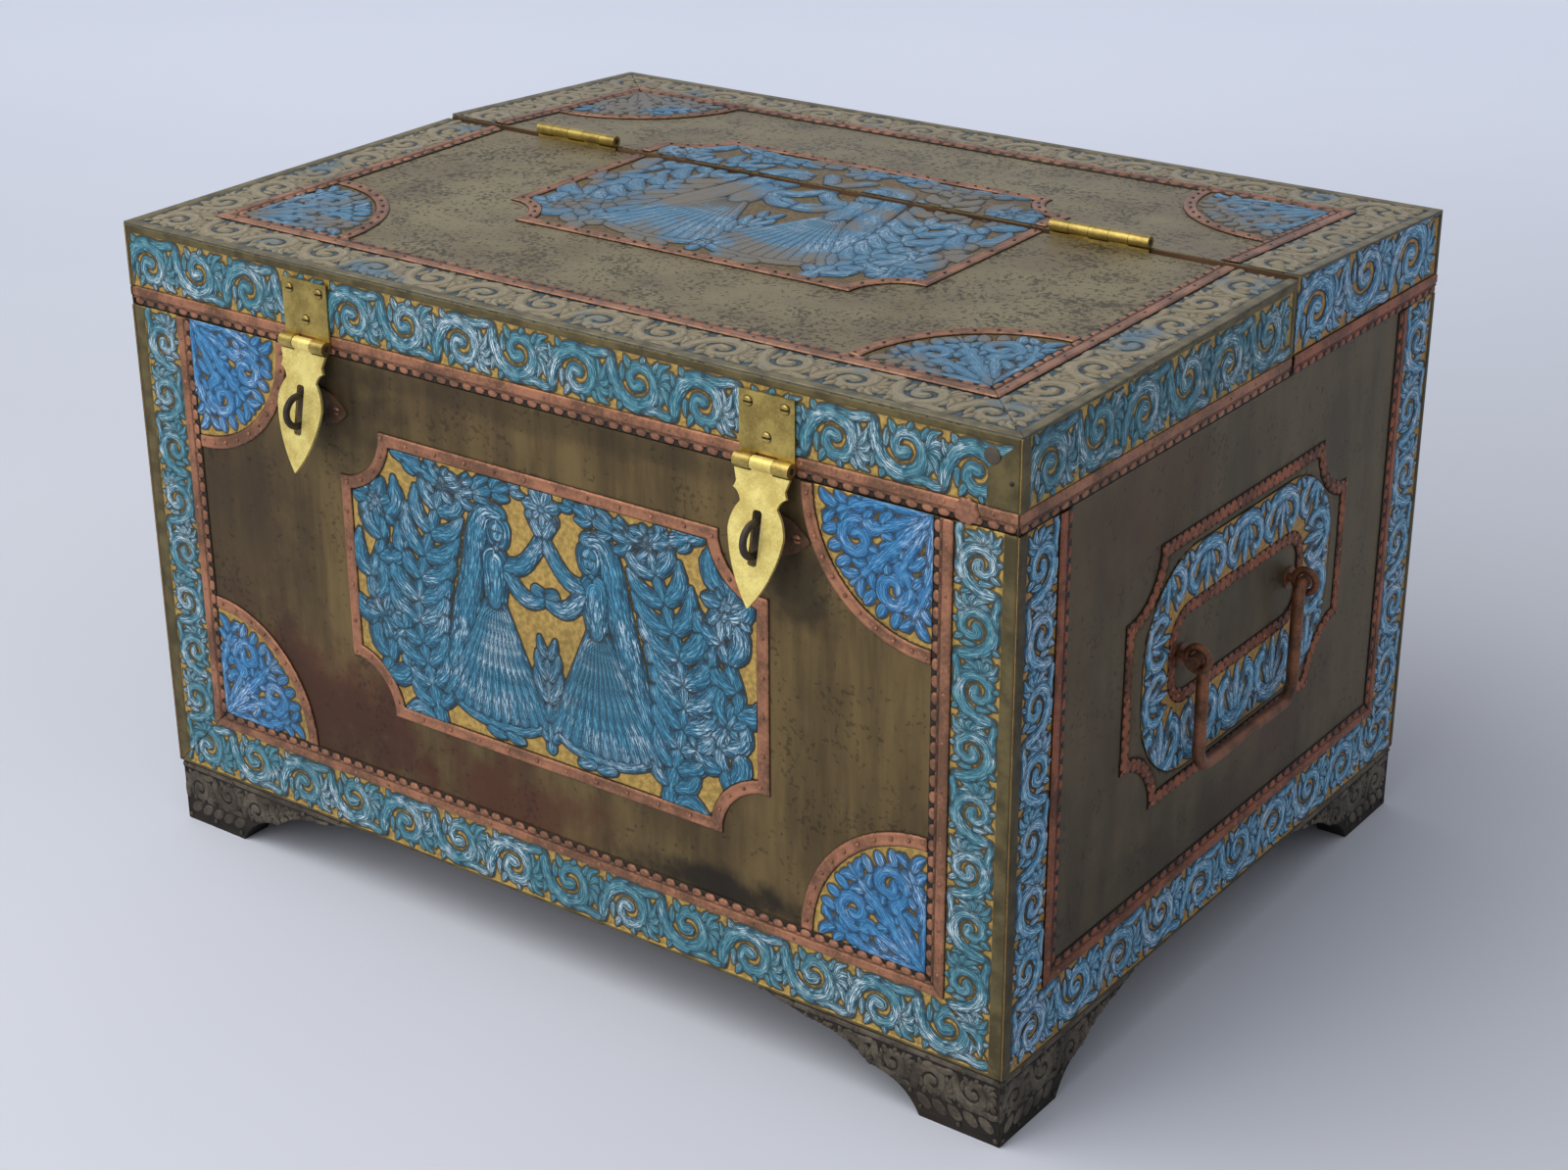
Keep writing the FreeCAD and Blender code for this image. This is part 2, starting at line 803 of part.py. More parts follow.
def make_feet():
    sheets = []
    for place_name, back in (("front", -1), ("rear", 1)):
        for side_name, side in SIDES.items():
            name = f"{place_name}_{side_name}_foot"
            face_y = wood_front if back < 0 else rear_y
            long_loop = bracket(s.front_foot_reach, s.front_foot_toe)
            short_loop = bracket(s.side_foot_reach, s.side_foot_toe)
            long_loop = mirrored(long_loop) if side * back < 0 else long_loop
            short_loop = mirrored(short_loop) if side * back > 0 else short_loop
            board_x = side * (wood_x - s.foot_board)
            board_y = face_y - back * s.foot_board
            boards = [
                foot_side(f"{name}_long", long_loop, s.foot_board, back, side * wood_x, board_y, True),
                foot_side(f"{name}_short", short_loop, s.foot_board, side, board_x, face_y, False),
            ]
            foot = doc.addObject("Part::MultiFuse", f"{name}_joined")
            foot.Shapes = boards
            keep(foot, name)
            short_sheet = bracket(s.side_foot_reach, s.side_foot_toe, s.foot_sheet_rise)
            short_sheet = mirrored(short_sheet) if side * back > 0 else short_sheet
            lap_y = face_y - s.sheet if back < 0 else face_y
            sheet_x = side * wood_x
            sheets.append(
                foot_side(f"{name}_end_sheet", short_sheet, s.sheet, side, sheet_x, lap_y, False)
            )
            if back < 0:
                long_sheet = bracket(s.front_foot_reach, s.front_foot_toe, s.foot_sheet_rise)
                long_sheet = mirrored(long_sheet) if side > 0 else long_sheet
                sheets.append(
                    foot_side(f"{name}_front_sheet", long_sheet, s.sheet, back, sheet_x, face_y, True)
                )
    keep(group("foot_sheet_group", sheets), "foot_sheets")


# The front of the body
def fans_and_strips(centres, radius):
    """Corner fans and the strips round them, for corners given as place and inward way."""
    inner = radius - s.frame_width - s.lap_gap
    plates = [fan(x, y, in_x, in_y, inner) for x, y, in_x, in_y in centres]
    strips = [fan_strip(x, y, in_x, in_y, radius, s.frame_width) for x, y, in_x, in_y in centres]
    return plates, strips


def make_front_dress():
    edge = wood_x
    legs = [(x, z - s.foot_height, s.staple_wire_radius + s.hole_clearance) for x, z in staple_legs()]
    base = flat_piece("front_base", [rectangle(-edge, 0, edge, s.seam_height)], s.sheet, legs)
    keep(on_front(base, skin), "front_sheet")
    field_x = half_width - field_edge
    low = s.border_width - skin
    field_low = low + s.strip_width
    bands = flat_piece("front_bands", three_sides(-edge, 0, edge, s.seam_height, low), s.band)
    keep(on_front(bands, s.band), "front_border_bands")
    strips = three_sides(-edge + low, low, edge - low, s.seam_height, s.strip_width)
    corners = [
        (side * field_x, up, -side, way)
        for side in (-1, 1)
        for up, way in ((field_low, 1), (s.seam_height, -1))
    ]
    plates, arcs = fans_and_strips(corners, s.front_fan_radius)
    left = s.front_medallion_left_gap - field_x
    right = field_x - s.front_medallion_right_gap
    bottom = field_low + s.front_medallion_low_gap
    top = s.seam_height - s.front_medallion_high_gap
    frame = [
        scooped(left, bottom, right, top, s.front_notch),
        inside_scooped(left, bottom, right, top, s.front_notch, s.frame_width),
    ]
    strips = flat_piece("front_strips", strips + arcs + frame, s.strip)
    keep(on_front(strips, s.band), "front_copper_strips")
    fans = flat_piece("front_fans", plates, s.fan_sheet)
    keep(on_front(fans, s.band), "front_corner_fans")
    panel = inside_scooped(left, bottom, right, top, s.front_notch, s.frame_width + s.lap_gap)
    medallion = flat_piece("front_panel", [panel], s.medallion_sheet)
    keep(on_front(medallion, s.band), "front_medallion")


# The ends of the body, with the rims of the fixed top over them
def end_profile(near, far, low, top, below):
    """An upright piece of an end that follows one of the tops, across from the chest's middle."""
    return [
        to(near - mid_y, low),
        to(far - mid_y, low),
        to(far - mid_y, top(far, below) - s.foot_height),
        to(near - mid_y, top(near, below) - s.foot_height),
    ]


def facing(side, loops):
    """Outlines of an end as seen from outside it."""
    return loops if side > 0 else [mirrored(loop) for loop in loops]


def make_end_dress(side_name, side):
    split = rear_edge - mid_y
    base_loop = [
        to(-half_depth, 0),
        to(half_depth, 0),
        to(half_depth, rear_top(rear_y, skin) - s.foot_height),
        to(split, rear_top(rear_edge, skin) - s.foot_height),
        to(split, s.seam_height),
        to(-half_depth, s.seam_height),
    ]
    shanks = [
        (way * s.eye_half_spacing, handle_height, s.eye_shank_radius + s.hole_clearance)
        for way in (-1, 1)
    ]
    base = flat_piece(f"{side_name}_base", facing(side, [base_loop]), s.sheet, shanks)
    keep(on_end(base, side, skin), f"{side_name}_end_sheet")

    width = s.border_width
    rim_low = s.seam_height + s.seam_gap
    rim_band = end_profile(rear_edge, rear_y, rim_low + s.strip_width, rear_top, skin)
    bands = three_sides(-half_depth, 0, half_depth, s.seam_height, width) + [rim_band]
    bands = flat_piece(f"{side_name}_bands", facing(side, bands), s.band)
    keep(on_end(bands, side, s.band), f"{side_name}_end_border_bands")

    outer = end_left, end_bottom, end_right, end_top, s.end_notch
    frame_middle = as_size(0), handle_height
    narrow_half = s.eye_half_spacing + s.rosette_radius + s.rosette_gap
    narrow = 2 * narrow_half, s.inner_frame_height - 2 * s.frame_width
    inner = 2 * (narrow_half + s.frame_width), s.inner_frame_height
    strips = three_sides(width - half_depth, width, half_depth - width, s.seam_height, s.strip_width)
    strips += [
        rectangle(split, rim_low, half_depth, rim_low + s.strip_width - s.lap_gap),
        scooped(*outer),
        inside_scooped(*outer, s.frame_width),
        rounded(*frame_middle, *inner, s.inner_frame_corner),
        rounded(*frame_middle, *narrow, s.inner_frame_corner - s.frame_width),
    ]
    strips = flat_piece(f"{side_name}_strips", facing(side, strips), s.strip)
    keep(on_end(strips, side, s.band), f"{side_name}_end_copper_strips")

    panel = inside_scooped(*outer, s.frame_width + s.lap_gap)
    opening = rounded(
        *frame_middle,
        inner[0] + 2 * s.lap_gap,
        inner[1] + 2 * s.lap_gap,
        s.inner_frame_corner + s.lap_gap,
    )
    ring_width = end_right - end_left - 2 * s.scroll_ring_side_inset
    ring_height = end_top - end_bottom - 2 * s.scroll_ring_low_inset
    ring = rounded(
        (end_left + end_right) / 2,
        (end_bottom + end_top) / 2,
        ring_width,
        ring_height,
        ring_height * RING_CORNER_SHARE,
    )
    medallion = new_body(f"{side_name}_medallion_body")
    pad(medallion, sketch_in(medallion, "XY_Plane", facing(side, [panel, opening])), s.medallion_sheet)
    pad(medallion, sketch_in(medallion, "XY_Plane", facing(side, [ring, opening])), s.scroll_ring)
    keep(on_end(medallion, side, s.band), f"{side_name}_end_medallion")


# The two tops. Their outlines run up from the outer edge to the split.
def top_dress(length, medallion_low, high):
    """Base sheet, bands, strips, fans and medallion of a top of this length."""
    base = [rectangle(-half_width, 0, half_width, high)]
    bands = three_sides(-half_width, 0, half_width, high, s.border_width)
    low = s.border_width
    strips = three_sides(low - half_width, low, half_width - low, high, s.strip_width)
    field_x = half_width - field_edge
    corners = [(side * field_x, field_edge, -side, 1) for side in (-1, 1)]
    plates, arcs = fans_and_strips(corners, s.top_fan_radius)
    half = field_x - s.top_fan_radius - s.top_medallion_fan_gap
    frame = half_frame(-half, medallion_low, half, high, s.top_notch, s.frame_width)
    panel = half_panel(-half, medallion_low, half, high, s.top_notch, s.frame_width + s.lap_gap)
    return base, bands, strips + arcs + [frame], plates, [panel]


TOP_PIECES = (
    ("top_sheet", "sheet", 1),
    ("top_border_bands", "band", 0),
    ("top_copper_strips", "strip", 0),
    ("corner_fans", "fan_sheet", 0),
    ("medallion", "medallion_sheet", 0),
)


def make_top_dress():
    lid_high = lid_length - s.split_setback
    lid_loops = top_dress(lid_length, s.top_medallion_front, lid_high)
    rear_high = rear_length - s.split_setback
    rear_loops = top_dress(rear_length, rear_length - s.top_medallion_rear, rear_high)
    for (name, thickness, under), lid_set, rear_set in zip(TOP_PIECES, lid_loops, rear_loops):
        seat = skin if under else s.band
        thick = getattr(s, thickness)
        lid_name = f"lid_{name}"
        rear_name = f"rear_{name}"
        keep(on_lid(flat_piece(f"{lid_name}_piece", lid_set, thick), seat), lid_name)
        rear_set = [upturned(loop, rear_length) for loop in rear_set]
        keep(on_rear_top(flat_piece(f"{rear_name}_piece", rear_set, thick), seat), rear_name)


def make_lid_rim_dress():
    """Base sheets, bands and strips on the front and the two sides of the lid's rim."""
    low = s.seam_height + s.seam_gap
    front_high = lid_top(front_y, skin) - s.foot_height
    far = lid_edge - s.split_setback
    strip_top = low + s.strip_width - s.lap_gap
    groups = {
        "lid_rim_sheets": (low, front_high, s.sheet, skin),
        "lid_rim_border_bands": (low + s.strip_width, front_high, s.band, s.band),
        "lid_rim_copper_strips": (low, strip_top, s.band, s.band),
    }
    for name, (bottom, high, thick, seat) in groups.items():
        front = flat_piece(f"{name}_front", [rectangle(-wood_x, bottom, wood_x, high)], thick)
        pieces = [on_front(front, seat)]
        for side_name, side in SIDES.items():
            if name == "lid_rim_copper_strips":
                loop = rectangle(-half_depth, bottom, far - mid_y, high)
            else:
                loop = end_profile(front_y, far, bottom, lid_top, skin)
            piece = flat_piece(f"{name}_{side_name}", facing(side, [loop]), thick)
            pieces.append(on_end(piece, side, seat))
        keep(group(f"{name}_group", pieces), name)


# Butt hinges: knuckles on two leaves in turn round one pin
def knuckle_length(count):
    return (s.hinge_length - (count - 1) * s.knuckle_gap) / count


def comb(half_length, count, own, near, short, deep):
    """A leaf's outline hung from the pin: it reaches into its own knuckles and clears the others."""
    length = knuckle_length(count)
    pitch = length + s.knuckle_gap
    corners = [to(-half_length, -deep), to(half_length, -deep)]
    for number in reversed(range(count)):
        high = -near if number % 2 == own else -short
        start = number * pitch - half_length - (s.knuckle_gap if number % 2 != own and number else 0)
        end = number * pitch - half_length + length
        end = end + (s.knuckle_gap if number % 2 != own and number < count - 1 else 0)
        corners += [to(end, high), to(start, high)]
    return corners


def hinge_leaf(name, middle, own, way):
    """One leaf. way is 1 for the leaf behind the split and -1 for the lid's."""
    body = new_body(name)
    wall = s.hinge_barrel_radius - s.hinge_pin_radius
    outline = comb(
        s.hinge_length / 2,
        HINGE_KNUCKLES,
        own,
        s.hinge_pin_radius + wall / 2,
        s.hinge_barrel_radius + s.knuckle_gap,
        s.hinge_leaf_depth,
    )
    near = s.split_gap / 2
    face = -(near + s.hinge_leaf) if way > 0 else near
    plate = sketch_in(body, "XZ_Plane", [outline], offset=face)
    pad(body, plate, s.hinge_leaf)
    length = knuckle_length(HINGE_KNUCKLES)
    pitch = length + s.knuckle_gap
    start = own * pitch - s.hinge_length / 2
    bore = s.hinge_pin_radius + s.pin_clearance
    ring = sketch_in(body, "YZ_Plane", circles=[(0, 0, s.hinge_barrel_radius), (0, 0, bore)], offset=start)
    knuckle = pad(body, ring, length)
    row_of(body, knuckle, 2 * pitch, len(range(own, HINGE_KNUCKLES, 2)))
    return place(body, middle, split_y, hinge_z)


def make_hinges():
    fixed, moving, pins = [], [], []
    for middle in hinge_middles():
        fixed.append(hinge_leaf("fixed_leaf", middle, 0, 1))
        moving.append(hinge_leaf("lid_leaf", middle, 1, -1))
        pin = doc.addObject("Part::Cylinder", "hinge_pin")
        bind(pin, Radius=s.hinge_pin_radius, Height=s.hinge_length)
        place(pin, middle - s.hinge_length / 2, split_y, hinge_z, Rotation(Vector(0, 1, 0), 90))
        pins.append(pin)
    keep(group("fixed_leaf_group", fixed), "hinge_fixed_leaves")
    keep(group("lid_leaf_group", moving), "hinge_lid_leaves")
    keep(group("hinge_pin_group", pins), "hinge_pins")


# Hasps: a plate on the lid's rim, a pin, and a leaf whose slot goes over the staple
hasp_y = front_y - s.hasp_knuckle_radius
hasp_z = seam_z + s.hasp_axis_above_seam
leaf_knuckle_radius = s.hasp_knuckle_radius - s.hasp_leaf_clearance
hasp_bore = s.hasp_pin_radius + s.pin_clearance


def hasp_plate(middle):
    body = new_body("hasp_plate")
    half = s.hasp_width / 2
    inner = s.hasp_middle_knuckle / 2 + s.knuckle_gap
    low = s.hasp_knuckle_radius / 2
    high = s.rim_height - s.hasp_axis_above_seam - s.hasp_plate_top_gap
    clear = s.hasp_knuckle_radius + s.knuckle_gap
    outline = [
        to(-half, low),
        to(-inner, low),
        to(-inner, clear),
        to(inner, clear),
        to(inner, low),
        to(half, low),
        to(half, high),
        to(-half, high),
    ]
    pad(body, sketch_in(body, "XZ_Plane", [outline], offset=-s.hasp_knuckle_radius), s.hasp_plate)
    circles = [(0, 0, s.hasp_knuckle_radius), (0, 0, hasp_bore)]
    knuckle = pad(body, sketch_in(body, "YZ_Plane", circles=circles, offset=-half), half - inner)
    row_of(body, knuckle, half + inner, 2)
    return place(body, middle, hasp_y, hasp_z)


def half_leaf():
    """The right half of the leaf's outline, from its tip up to its knuckle."""
    half = s.hasp_width / 2
    drop = s.hasp_drop

    def at(shares):
        return half * shares[0], -drop * shares[1]

    top = -(s.hasp_knuckle_radius + 2 * s.knuckle_gap)
    neck = s.hasp_middle_knuckle / 2
    root_z = -(leaf_knuckle_radius + s.hasp_pin_radius) / 2
    return [
        to(0, -drop),
        bend(*at(HASP_BELLY_SHARES), half * HASP_TIP_ARC_SHARE, 1),
        bend(*at(HASP_NECK_SHARES), half * HASP_BELLY_ARC_SHARE, 1),
        bend(*at(HASP_POINT_SHARES), half * HASP_SCOOP_SHARE, -1),
        bend(*at(HASP_WAIST_SHARES), half * HASP_SCOOP_SHARE, -1),
        to(half, top),
        to(neck, top),
        to(neck, root_z),
    ]


def make_hasp_leaf(name, middle):
    right = half_leaf()
    mirror = mirrored(right)
    outline = mirror[-1:] + right[1:] + mirror[:-1]
    body = new_body(f"{name}_body")
    slot = rounded(
        as_size(0), -s.hasp_slot_middle, s.hasp_slot_width, s.hasp_slot_length, s.hasp_slot_width / 3
    )
    pad(body, sketch_in(body, "XZ_Plane", [outline, slot]), s.hasp_leaf, both_ways=True)
    circles = [(0, 0, leaf_knuckle_radius), (0, 0, hasp_bore)]
    start = -s.hasp_middle_knuckle / 2
    pad(body, sketch_in(body, "YZ_Plane", circles=circles, offset=start), s.hasp_middle_knuckle)
    place(body, middle, hasp_y, hasp_z, Rotation(Vector(-1, 0, 0), s.hasp_tilt.number))
    body.setExpression("Placement.Rotation.Angle", s.hasp_tilt.text)
    keep(body, name)


def make_hasps():
    plates, pins = [], []
    for side_name, middle in hasp_middles.items():
        plates.append(hasp_plate(middle))
        pin = doc.addObject("Part::Cylinder", "hasp_pin")
        bind(pin, Radius=s.hasp_pin_radius, Height=s.hasp_width)
        place(pin, middle - s.hasp_width / 2, hasp_y, hasp_z, Rotation(Vector(0, 1, 0), 90))
        pins.append(pin)
        make_hasp_leaf(f"{side_name}_hasp_leaf", middle)
    keep(group("hasp_plate_group", plates), "hasp_plates")
    keep(group("hasp_pin_group", pins), "hasp_pins")


# Staples: a wire loop whose legs go through the front board, over a pointed plate
def staple(middle):
    rise = s.staple_height / 2
    straight = s.staple_reach - s.staple_wire_radius - rise
    inside = skin + s.board
    body = new_body("staple")
    path = [to(inside, rise), to(-straight, rise), bend(-straight - rise, 0, rise, 1)]
    path += [bend(-straight, -rise, rise, 1), to(inside, -rise)]
    spine = sketch_in(body, "YZ_Plane", [path], closed=False)
    wire = sketch_in(body, "XZ_Plane", circles=[(0, rise, s.staple_wire_radius)], offset=-inside)
    sweep = body.newObject("PartDesign::AdditivePipe", "wire")
    sweep.Profile = wire
    sweep.Spine = spine
    height = hasp_z - s.staple_below_axis
    return place(body, middle, front_y, height)


def staple_plate(middle):
    half = s.staple_plate_width / 2
    high = s.staple_plate_height / 2
    radius = (half * half + high * high) / (2 * high)
    lens = [
        bend(-half, 0, radius, 1),
        bend(0, -high, radius, 1),
        bend(half, 0, radius, 1),
        bend(0, high, radius, 1),
    ]
    hole = s.staple_wire_radius + s.hole_clearance
    holes = [(0, up * s.staple_height / 2, hole) for up in (-1, 1)]
    plate = flat_piece("staple_plate", [lens], s.band, holes)
    return on_front(plate, s.band, middle, hasp_z - s.staple_below_axis)


def make_staples():
    middles = hasp_middles.values()
    keep(group("staple_group", [staple(middle) for middle in middles]), "staples")
    keep(group("staple_plate_group", [staple_plate(middle) for middle in middles]), "staple_plates")


# Bail handles in ring eyes
handle_z = s.foot_height + handle_height
sheet_x = half_width - s.band


def handle_eye(side, way):
    """A ring whose shank goes through the end board and is riveted inside."""
    x = sheet_x + s.eye_stand_off
    ring = doc.addObject("Part::Torus", "eye_ring")
    bind(ring, Radius1=s.eye_ring_radius, Radius2=s.eye_wire_radius)
    place(ring, side * x, mid_y + way * s.eye_half_spacing, handle_z, Rotation(Vector(1, 0, 0), 90))
    shank = doc.addObject("Part::Cylinder", "eye_shank")
    end = inner_x - s.eye_rivet
    bind(shank, Radius=s.eye_shank_radius, Height=x - s.eye_ring_radius - end)
    rivet = doc.addObject("Part::Cylinder", "eye_rivet")
    bind(rivet, Radius=s.eye_rivet_radius, Height=s.eye_rivet)
    outwards = Rotation(Vector(0, side, 0), 90)
    for piece in (shank, rivet):
        place(piece, side * end, mid_y + way * s.eye_half_spacing, handle_z, outwards)
    eye = doc.addObject("Part::MultiFuse", "handle_eye")
    eye.Shapes = [ring, shank, rivet]
    return eye


def make_bail(side_name, side):
    inner = s.eye_half_spacing - s.eye_wire_radius - s.bail_side_play
    leg = inner - s.bail_bend
    tip = s.eye_half_spacing + s.eye_wire_radius + s.bail_end
    low = -s.bail_drop
    path = [
        to(-tip, 0),
        to(-inner, 0),
        bend(-leg, -s.bail_bend, s.bail_bend, -1),
        to(-leg, low + s.bail_corner),
        bend(-leg + s.bail_corner, low, s.bail_corner, 1),
        to(leg - s.bail_corner, low),
        bend(leg, low + s.bail_corner, s.bail_corner, 1),
        to(leg, -s.bail_bend),
        bend(inner, 0, s.bail_bend, -1),
        to(tip, 0),
    ]
    body = new_body(f"{side_name}_bail_body")
    spine = sketch_in(body, "YZ_Plane", [path], closed=False)
    rod = sketch_in(body, "XZ_Plane", circles=[(0, 0, s.bail_rod_radius)], offset=tip)
    sweep = body.newObject("PartDesign::AdditivePipe", "rod")
    sweep.Profile = rod
    sweep.Spine = spine
    place(body, side * (sheet_x + s.eye_stand_off), mid_y, handle_z)
    keep(body, f"{side_name}_handle")


def make_handles():
    rosettes = []
    for side_name, side in SIDES.items():
        eyes = [handle_eye(side, way) for way in (-1, 1)]
        keep(group(f"{side_name}_eye_group", eyes), f"{side_name}_handle_eyes")
        hole = s.eye_shank_radius + s.hole_clearance
        circles = [
            (way * s.eye_half_spacing, handle_height, radius)
            for way in (-1, 1)
            for radius in (s.rosette_radius, hole)
        ]
        rosettes.append(on_end(flat_piece(f"{side_name}_rosettes", [], s.rosette, circles), side, s.band))
        make_bail(side_name, side)
    keep(group("rosette_group", rosettes), "handle_rosettes")


make_floor_board()
make_front_board()
make_back_board()
for side_name, side in SIDES.items():
    make_end_board(side_name, side)
make_rear_top()
make_lid()
make_feet()
make_front_dress()
for side_name, side in SIDES.items():
    make_end_dress(side_name, side)
make_top_dress()
make_lid_rim_dress()
make_hinges()
make_hasps()
make_staples()
make_handles()
doc.recompute()

# Nothing is written unless every object worked and every piece is a sound solid
for thing in doc.Objects:
    if "Invalid" in thing.State or "Error" in thing.State:
        raise ValueError(f"{thing.Label}: {thing.State}")
for name, thing in nodes.items():
    if thing.Shape.isNull() or not thing.Shape.isValid() or not thing.Shape.Solids:
        raise ValueError(f"{name} is not a sound solid")
for name, thing in nodes.items():
    thing.Shape.exportStep(f"parts/{name}.step")
    print(f"{name}: {len(thing.Shape.Solids)} solids, {thing.Shape.Volume / 1000:.1f} cm3")
print(f"{len(nodes)} nodes")
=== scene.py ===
# %% [markdown]
# # A brass-clad dowry chest
# The chest is a wooden box, nailed over with thin brass sheet. Embossed and painted bands run
# along every edge, copper strips cover their joints, and painted medallions sit in the fields.
# The solids come from the CAD frame. This script adds what a metalworker and a painter add:
# relief, scallops, nails, paint, rust and wear. First the frame is loaded and its box is kept.

# %% Load the frame
import math

import bpy
import numpy as np
from mathutils import Matrix, Vector
from mathutils.geometry import delaunay_2d_cdt


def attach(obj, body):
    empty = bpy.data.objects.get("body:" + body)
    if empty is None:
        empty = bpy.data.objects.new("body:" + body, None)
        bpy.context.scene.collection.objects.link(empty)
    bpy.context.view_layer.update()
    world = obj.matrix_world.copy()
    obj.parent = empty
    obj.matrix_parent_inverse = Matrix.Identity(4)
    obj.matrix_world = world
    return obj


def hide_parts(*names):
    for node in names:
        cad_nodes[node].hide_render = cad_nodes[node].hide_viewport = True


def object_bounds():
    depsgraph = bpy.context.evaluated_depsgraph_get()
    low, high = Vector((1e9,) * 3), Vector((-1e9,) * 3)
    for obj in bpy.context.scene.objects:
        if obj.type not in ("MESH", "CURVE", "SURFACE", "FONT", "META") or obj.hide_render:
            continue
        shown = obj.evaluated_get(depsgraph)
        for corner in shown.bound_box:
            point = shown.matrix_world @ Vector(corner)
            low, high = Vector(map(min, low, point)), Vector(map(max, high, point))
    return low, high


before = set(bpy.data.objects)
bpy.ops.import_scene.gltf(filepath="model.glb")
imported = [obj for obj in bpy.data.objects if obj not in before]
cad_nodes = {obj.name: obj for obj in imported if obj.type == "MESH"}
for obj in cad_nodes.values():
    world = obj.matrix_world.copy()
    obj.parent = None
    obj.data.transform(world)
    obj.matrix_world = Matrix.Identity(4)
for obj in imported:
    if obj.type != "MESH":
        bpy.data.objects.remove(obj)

cad_low, cad_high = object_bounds()
MM = 0.001
print(f"{len(cad_nodes)} pieces, box {[round(v / MM, 1) for v in cad_high - cad_low]} mm")

# %% [markdown]
# ## The camera
# The photograph is taken from the right front corner, a little above the lid. Its place and
# lens were worked out once from the box's edges, so here they are plain numbers. The camera
# looks along -Z of its own matrix, so the matrix is made from its right, up and back vectors.

# %% Place the camera
CAMERA_PLACE = (1.03579, -1.39275, 0.94702)
CAMERA_AZIMUTH = 36.4404
CAMERA_ELEVATION = 23.7040
CAMERA_ROLL = -0.2873
CAMERA_LENS = 62.07


def look_matrix(place, azimuth, elevation, roll):
    a, e, r = (math.radians(angle) for angle in (azimuth, elevation, roll))
    ahead = Vector((-math.sin(a) * math.cos(e), math.cos(a) * math.cos(e), -math.sin(e)))
    right = ahead.cross(Vector((0, 0, 1))).normalized()
    up = right.cross(ahead)
    turned_right = math.cos(r) * right + math.sin(r) * up
    turned_up = math.cos(r) * up - math.sin(r) * right
    matrix = Matrix((turned_right, turned_up, -ahead)).transposed().to_4x4()
    matrix.translation = Vector(place)
    return matrix


camera = bpy.data.objects.new("camera", bpy.data.cameras.new("camera"))
camera.data.lens = CAMERA_LENS
camera.matrix_world = look_matrix(CAMERA_PLACE, CAMERA_AZIMUTH, CAMERA_ELEVATION, CAMERA_ROLL)
bpy.context.scene.collection.objects.link(camera)
bpy.context.scene.camera = camera
print("camera", [round(v, 2) for v in camera.location])

# %% [markdown]
# ## Short words for shader trees
# Every finish below is a tree of nodes. Written out in full, each node takes four lines, which
# hides the idea. `Tree` wraps a node tree, so that a noise, a mix or a sum is one call whose
# inputs are either numbers or the outputs of other calls.

# %% Tree: one call for each shader node
class Tree:
    def __init__(self, tree):
        self.tree = tree

    def add(self, kind, settings=None, **inputs):
        node = self.tree.nodes.new(kind)
        for name, value in (settings or {}).items():
            setattr(node, name, value)
        for name, value in inputs.items():
            self.put(node.inputs[name.replace("_", " ")], value)
        return node

    def put(self, socket, value):
        if isinstance(value, bpy.types.NodeSocket):
            self.tree.links.new(value, socket)
        else:
            socket.default_value = value

    def calc(self, operation, *values):
        node = self.tree.nodes.new("ShaderNodeMath")
        node.operation = operation
        for socket, value in zip(node.inputs, values):
            self.put(socket, value)
        return node.outputs[0]

    def mix(self, factor, first, second):
        node = self.tree.nodes.new("ShaderNodeMix")
        node.data_type = "RGBA"
        for index, value in ((0, factor), (6, first), (7, second)):
            self.put(node.inputs[index], value)
        return node.outputs[2]

    def rise(self, value, low, high):
        """0 below low and 1 above high, smooth between."""
        node = self.add("ShaderNodeMapRange", {"interpolation_type": "SMOOTHSTEP"}, Value=value)
        self.put(node.inputs["From Min"], low)
        self.put(node.inputs["From Max"], high)
        return node.outputs[0]

    def stretched(self, vector, scale):
        node = self.add("ShaderNodeMapping", {}, Vector=vector, Scale=scale)
        return node.outputs[0]

    def noise(self, vector, scale, detail=4.0, roughness=0.5):
        node = self.add("ShaderNodeTexNoise", {}, Vector=vector, Scale=scale, Detail=detail)
        self.put(node.inputs["Roughness"], roughness)
        return node.outputs[0]

    def attribute(self, name):
        return self.add("ShaderNodeAttribute", {"attribute_name": name})

    def group(self, made, **inputs):
        node = self.tree.nodes.new("ShaderNodeGroup")
        node.node_tree = made
        for name, value in inputs.items():
            self.put(node.inputs[name.replace("_", " ")], value)
        return node


def rgb(red, green, blue):
    """A colour as a screen shows it, turned into the linear light that shaders use."""
    return tuple((c / 12.92 if c <= 0.04045 else ((c + 0.055) / 1.055) ** 2.4) for c in (red, green, blue)) + (1,)


def new_group(name, inputs, outputs):
    """An empty shader group with typed sockets, and its Tree, input node and output node."""
    made = bpy.data.node_groups.new(name, "ShaderNodeTree")
    for in_out, sockets in (("INPUT", inputs), ("OUTPUT", outputs)):
        for socket_name, kind in sockets.items():
            made.interface.new_socket(socket_name, in_out=in_out, socket_type=f"NodeSocket{kind}")
    tree = Tree(made)
    return made, tree, made.nodes.new("NodeGroupInput").outputs, made.nodes.new("NodeGroupOutput").inputs
